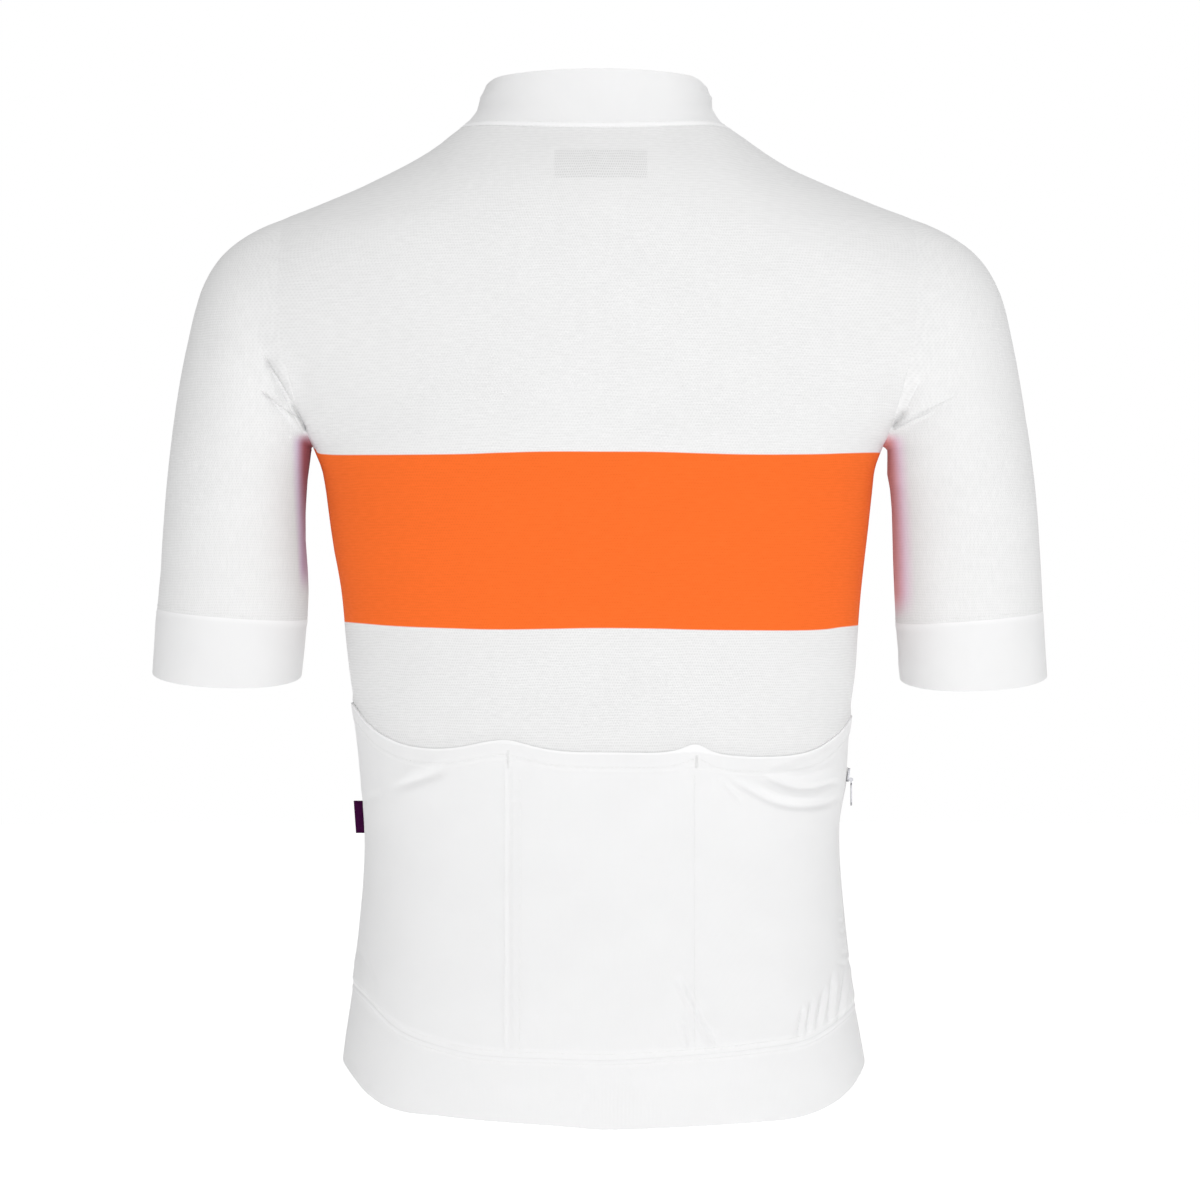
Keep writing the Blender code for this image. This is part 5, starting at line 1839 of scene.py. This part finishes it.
@dataclass
class Zips(Group):
    """Front zip and the zip of the right pocket.

    Attributes:
        left: Left tape of the front zip.
        right: Right tape of the front zip.
        side: Tape of the side zip.
        pitch: Length from one tooth to the next.
        front_teeth: Length and thickness of the front zip's teeth, and how far their middle
            is from the tape's edge.
        side_teeth: The same for the side zip, from the tape's middle.
        front_ends: Length of the front tapes without teeth, at the foot and at the top.
        side_ends: The same for the side tape.
        gap: Distance between two places where a tape is looked for.
        front_start: Depth from which a front tape is looked for.
        side_start: Place across from which the side tape is looked for.
        strip: Height of the strips in which a tape's edge is found.
        metal_nodes: Solids of the sliders and pulls.
    """

    left: Cloth = cut("front_zip_tape_left", TORSO, Slot.TAPE, (10, 555), 0.9, wraps=False)
    right: Cloth = cut("front_zip_tape_right", TORSO, Slot.TAPE, (10, 555), 0.9, wraps=False)
    side: Cloth = cut("side_zip_tape", TORSO, Slot.TAPE, (10.5, 123.5), 1.0, wraps=False,
                      rests_on=("pocket_panel_cloth",))
    pitch: float = 1.25
    front_teeth: tuple[float, float, float] = (2.1, 0.62, 1.1)
    side_teeth: tuple[float, float, float] = (1.7, 0.55, 0.7)
    front_ends: Point2 = (2.0, 1.0)
    side_ends: Point2 = (1.5, 1.0)
    gap: float = 2.0
    front_start: float = 200.0
    side_start: float = 250.0
    strip: float = 6.0
    metal_nodes: tuple[str, ...] = (
        "front_zip_slider", "front_zip_pull", "side_zip_slider", "side_zip_pull")

    def teeth(self) -> None:
        """Lay the coil's arcs along the middle of both zips."""
        shop = ThreadShop(6)
        finish = CoilFinish("zip_coil").make()
        tree = Skin(TORSO, self.left, self.right).tree
        long, thick, away = self.front_teeth
        rows = []
        for piece, hand in ((self.left, -1), (self.right, 1)):
            line = self._inner_edge(piece, -hand)
            heights = self._heights(line[:, 1], self.front_ends)
            across = np.interp(heights, line[:, 1], line[:, 0]) + hand * away
            starts = [(x, self.front_start, z) for x, z in zip(across, heights)]
            rows.append(self._row(tree, starts, (0, -1, 0), hand))
        shop.sew("front_zip_coil", rows, long, thick, finish)
        tree = self.side.tree()
        long, thick, away = self.side_teeth
        points = self.side.points()
        middle = (points[:, 1].min() + points[:, 1].max()) / 2
        rows = []
        for hand in (-1, 1):
            starts = [(self.side_start, middle + hand * away, z)
                      for z in self._heights(points[:, 2], self.side_ends)]
            rows.append(self._row(tree, starts, (-1, 0, 0), hand))
        shop.sew("side_zip_coil", rows, long, thick, finish)

    def _heights(self, heights: np.ndarray, ends: Point2) -> np.ndarray:
        """Even heights between the ends that have no teeth."""
        return np.arange(heights.min() + ends[0], heights.max() - ends[1], self.gap)

    def _row(self, tree: BVHTree, starts: Sequence[tuple[float, float, float]],
             way: tuple[float, float, float], hand: int) -> Steps:
        """Steps of one row of teeth.

        Args:
            tree: Faces of the tape.
            starts: Places that the tape is looked for from.
            way: Way to it from there.
            hand: -1 for the left row, 1 for the right one, half a step later.

        Returns:
            The steps, each turned across the row.
        """
        track = Track.through([cast(tree, start, way) for start in starts])
        place, along, out = track.walk(self.pitch, 0.0 if hand < 0 else self.pitch / 2)
        return place, unit(np.cross(out, along)), out

    def _inner_edge(self, piece: Cloth, toward: int) -> np.ndarray:
        """Edge of a front tape that faces the other tape.

        Args:
            piece: The tape.
            toward: 1 if the other tape lies towards +X.

        Returns:
            Rows of across and height, from the lowest up.
        """
        points = piece.points()
        bins = np.round(points[:, 2] / self.strip)
        rows = []
        for level in np.unique(bins):
            here = points[bins == level]
            best = here[np.argmax(toward * here[:, 0])]
            rows.append((best[0], best[2]))
        return np.array(rows)[np.argsort([row[1] for row in rows])]

    def dress(self) -> None:
        """Give tapes, sliders and pulls their finishes."""
        woven = TapeFinish("zip_tape_weave").make()
        for piece in self.pieces:
            piece.dress(woven)
        satin = MetalFinish("satin_metal").make()
        for name in self.metal_nodes:
            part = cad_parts[name]
            part.data.materials.clear()
            part.data.materials.append(satin)
            LOG.info("%s: satin metal", name)


@dataclass
class Labels(Group):
    """Folded label in the left side seam and the label inside the neck."""

    side: Cloth = cut("side_label", TORSO, Slot.SIDE_LABEL, (10.5, 21), 0.82, Hold.FOLDED, wraps=False)
    neck: Cloth = cut("neck_label", TORSO, Slot.NECK_LABEL, (60, 25), 1.0, wraps=False,
                      rests_on=("back_panel_cloth",))

    def dress(self) -> None:
        """Give the labels their finishes."""
        self.side.dress(LabelFinish("side_label_weave", (0.048, 0.002, 0.042), shine=0.06).make())
        self.neck.dress(LabelFinish("neck_label_weave", (0.55, 0.55, 0.57)).make())


SEWN: dict[str, tuple[str, ...]] = {
    "back_panel": ("front_left", "front_right", "sleeve_left", "sleeve_right", "collar", "hem_band"),
    "front_left": ("back_panel", "sleeve_left", "collar", "hem_band", "front_zip_tape_left"),
    "front_right": ("back_panel", "sleeve_right", "collar", "hem_band", "front_zip_tape_right"),
    "sleeve_left": ("back_panel", "front_left", "cuff_left"),
    "sleeve_right": ("back_panel", "front_right", "cuff_right"),
    "cuff_left": ("sleeve_left",),
    "cuff_right": ("sleeve_right",),
    "collar": ("back_panel", "front_left", "front_right"),
    "hem_band": ("back_panel", "front_left", "front_right", "pocket_panel"),
}


def sew_up(pieces: Sequence[Cloth]) -> None:
    """Close the hairline gaps between pieces that are sewn together.

    Args:
        pieces: All pieces of cloth.
    """
    named = {piece.node: piece for piece in pieces}
    moves = {name: named[name].close_to(*(named[other] for other in others))
             for name, others in SEWN.items()}
    for name, rows in moves.items():
        named[name].place_at(named[name].points() + rows)


def settle(pieces: Sequence[Cloth], draws: Sequence[Draw]) -> None:
    """Let pieces of cloth give along the garment's edges.

    Args:
        pieces: The pieces.
        draws: The edges that give, apart from the shoulders.
    """
    for piece in pieces:
        points = piece.points()
        piece.place_at(points + sum(draw.move(points) for draw in (*SHOULDERS, *draws)))


@dataclass
class Sewing:
    """Cover stitches and bartacks.

    Attributes:
        pitch: Length from one stitch to the next.
        long: Length of a stitch.
        thick: Thickness of the thread.
        opening: Turn that is left free on each side of the front opening.
        later: Where the first stitch of a second row ends.
        hem_rows: Heights of the two rows above the hem seam.
        neck_rows: Heights of the two rows above the neck seam.
        cuff_row: Height of the row above a cuff seam.
        pocket_row: Height of the row above the pockets' top edge.
        upright: Rows on the pocket dividers: place across, lower end and upper end.
        tacks: Bartacks: place across, lower end and upper end.
        tack_pitch: Length from one of a bartack's stitches to the next.
        tack_long: Length of its stitch.
        tack_thick: Thickness of its thread.
        tack_flat: Height of its stitch as a share of a round thread's.
    """

    pitch: float = 2.9
    long: float = 2.5
    thick: float = 0.32
    opening: float = 0.065
    later: float = 1.2
    hem_rows: Point2 = (-3.1, 3.4)
    neck_rows: Point2 = (0.9, 3.7)
    cuff_row: float = 2.0
    pocket_row: float = -9.5
    upright: tuple[tuple[float, float, float], ...] = (
        (-60.6, -593.0, -416.0), (-50.6, -593.0, -416.0), (59.8, -591.0, -416.0))
    tacks: tuple[tuple[float, float, float], ...] = ((-58.2, -414.0, -402.0), (61.4, -413.5, -404.5))
    tack_pitch: float = 0.5
    tack_long: float = 2.2
    tack_thick: float = 0.4
    tack_flat: float = 0.12

    def build(self, body: BodyPanels, sleeves: Sleeves, bands: Bands) -> None:
        """Sew the pieces.

        Args:
            body: The body panels.
            sleeves: The sleeves and cuffs.
            bands: Collar, hem band and pocket panel.
        """
        shop = ThreadShop()
        thread = ThreadFinish("sewing_thread").make()
        seams = {
            "hem_stitches": self._hem(body, bands),
            "neck_stitches": self._neck(bands),
            "left_cuff_stitches": self._cuff(sleeves.left, sleeves.left_cuff),
            "right_cuff_stitches": self._cuff(sleeves.right, sleeves.right_cuff),
            "pocket_stitches": self._pockets(bands),
        }
        for name, rows in seams.items():
            shop.sew(name, rows, self.long, self.thick, thread)
        skin = Skin(TORSO, bands.pockets)
        rows = []
        for tack in self.tacks:
            line = skin.upright(*tack, Half.BACK, self.tack_pitch)
            place, along, out = line.walk(self.tack_pitch)
            rows.append((place, unit(np.cross(out, along)), out))
        shop.sew("bartacks", rows, self.tack_long, self.tack_thick, thread, self.tack_flat)

    def _pair(self, skin: Skin, seam: Edge, heights: Point2) -> list[Steps]:
        """Two rows of stitches at these heights above a seam."""
        return [skin.track(seam, height).walk(self.pitch, start)
                for height, start in zip(heights, (0.0, self.later))]

    def _hem(self, body: BodyPanels, bands: Bands) -> list[Steps]:
        """Two rows of stitches along the hem seam."""
        seam = Skin(TORSO, bands.hem).edge(HEM_TOP, around(420, self.opening), upper=True)
        skin = Skin(TORSO, bands.hem, bands.pockets, body.left, body.right)
        return self._pair(skin, seam, self.hem_rows)

    def _neck(self, bands: Bands) -> list[Steps]:
        """Two rows of stitches on the collar's lower welt."""
        skin = Skin(NECK, bands.collar)
        seam = skin.edge(NECK_SEAM, around(260, NECK_OPENING), upper=False)
        return self._pair(skin, seam, self.neck_rows)

    def _cuff(self, sleeve: Cloth, cuff: Cloth) -> list[Steps]:
        """A row of stitches round a cuff seam."""
        seam = Skin(cuff.form, cuff).edge(CUFF_TOP, around(160, endpoint=False), upper=True)
        line = Skin(cuff.form, sleeve, cuff).track(seam, self.cuff_row, closed=True)
        return [line.walk(self.pitch)]

    def _pockets(self, bands: Bands) -> list[Steps]:
        """Rows on the hem of the pocket panel and on its dividers."""
        skin = Skin(TORSO, bands.pockets)
        tracks = [skin.track(bands.pocket_edge(POCKET_TOP, 320, upper=True), self.pocket_row)]
        tracks += [skin.upright(*row, Half.BACK) for row in self.upright]
        return [track.walk(self.pitch) for track in tracks]


# --------------------------------------------------------------------------
# Studio


@dataclass(frozen=True)
class Lamp:
    """One soft lamp: where it stands, how large and how strong it is."""

    name: str
    place: tuple[float, float, float]
    size: float
    power: float


def stand(name: str, data: bpy.types.ID, place: Sequence[float]) -> bpy.types.Object:
    """Put a lamp or a camera into the scene."""
    thing = bpy.data.objects.new(name, data)
    thing.location = place
    bpy.context.scene.collection.objects.link(thing)
    return thing


@dataclass
class Studio:
    """Pale floor, soft light and the camera. Its sizes are in metres."""

    floor_height: float = -0.95
    floor_reach: float = 12.0
    aim: tuple[float, float, float] = (0.0, 0.0, -0.307)
    distance: float = 3.5
    sensor: float = 36.0
    lens: float = 161.5
    far: float = 60.0
    dome_seen: float = 1.0
    dome_light: float = 0.50
    lamps: tuple[Lamp, ...] = (
        Lamp("key_softbox", (1.1, -2.9, 0.35), 1.6, 10.8),
        Lamp("wide_softbox", (0.3, -3.6, -0.1), 2.0, 19.2),
        Lamp("top_softbox", (0.2, -0.8, 2.4), 1.6, 19.0),
        Lamp("front_softbox", (0.6, 3.2, 0.3), 1.8, 12.0),
    )

    def build(self) -> None:
        """Set up floor, lamps, dome and camera."""
        bpy.ops.object.select_all(action="DESELECT")
        bpy.ops.mesh.primitive_circle_add(vertices=96, radius=self.floor_reach, fill_type="NGON",
                                          location=(0, 0, self.floor_height))
        floor = bpy.context.active_object
        floor.name = "studio_floor"
        floor.data.materials.append(FloorFinish().make())
        for lamp in self.lamps:
            data = bpy.data.lights.new(lamp.name, "AREA")
            data.shape = "DISK"
            data.size = lamp.size
            data.energy = lamp.power
            way = Vector(self.aim) - Vector(lamp.place)
            stand(lamp.name, data, lamp.place).rotation_euler = way.to_track_quat("-Z", "Y").to_euler()
        self._dome()
        data = bpy.data.cameras.new("camera")
        data.sensor_width = self.sensor
        data.lens = self.lens
        data.clip_end = self.far
        camera = stand("camera", data, (self.aim[0], -self.distance, self.aim[2]))
        camera.rotation_euler = (math.pi / 2, 0, 0)
        bpy.context.scene.camera = camera
        bpy.context.scene.view_settings.view_transform = "Standard"

    def _dome(self) -> None:
        """White dome: bright where it is seen, softer where it lights."""
        world = bpy.data.worlds.new("studio_dome")
        world.use_nodes = True
        tree = world.node_tree
        background = tree.nodes["Background"]
        background.inputs["Color"].default_value = (1, 1, 1, 1)
        path = tree.nodes.new("ShaderNodeLightPath")
        level = tree.nodes.new("ShaderNodeMapRange")
        level.inputs["To Min"].default_value = self.dome_light
        level.inputs["To Max"].default_value = self.dome_seen
        tree.links.new(path.outputs["Is Camera Ray"], level.inputs["Value"])
        tree.links.new(level.outputs[0], background.inputs["Strength"])
        bpy.context.scene.world = world


def corners(box: tuple[Vector, Vector]) -> list[list[float]]:
    """Two corners as plain lists of numbers."""
    return [list(corner) for corner in box]


def main() -> None:
    """Build the dressed jersey round its frame."""
    logging.basicConfig(level=logging.INFO, format="%(name)s %(message)s")
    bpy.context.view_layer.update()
    body, sleeves, bands, zips, labels = BodyPanels(), Sleeves(), Bands(), Zips(), Labels()
    for group in (body, sleeves, bands, zips, labels):
        group.build()
    trunk = (*body.pieces, *bands.pieces, *zips.pieces)
    sewn = (*trunk, *sleeves.pieces)
    sew_up(sewn)
    settle((sleeves.left, sleeves.left_cuff), LEFT_SLEEVE)
    settle((sleeves.right, sleeves.right_cuff), RIGHT_SLEEVE)
    settle((*trunk, *labels.pieces), (*BODY_SIDES, *COLLAR_SIDES))
    pocket_top = bands.pocket_edge(POCKET_TOP, 240, upper=True)
    body.fold(pocket_top)
    sleeves.fold()
    bands.fold(pocket_top)
    sew_up(sewn)
    smooth = SmoothFinish("smooth_stretch").make()
    body.dress()
    sleeves.dress(smooth)
    bands.dress(smooth)
    zips.dress()
    labels.dress()
    zips.teeth()
    Sewing().build(body, sleeves, bands)
    Studio().build()


if __name__ == "__main__":
    main()
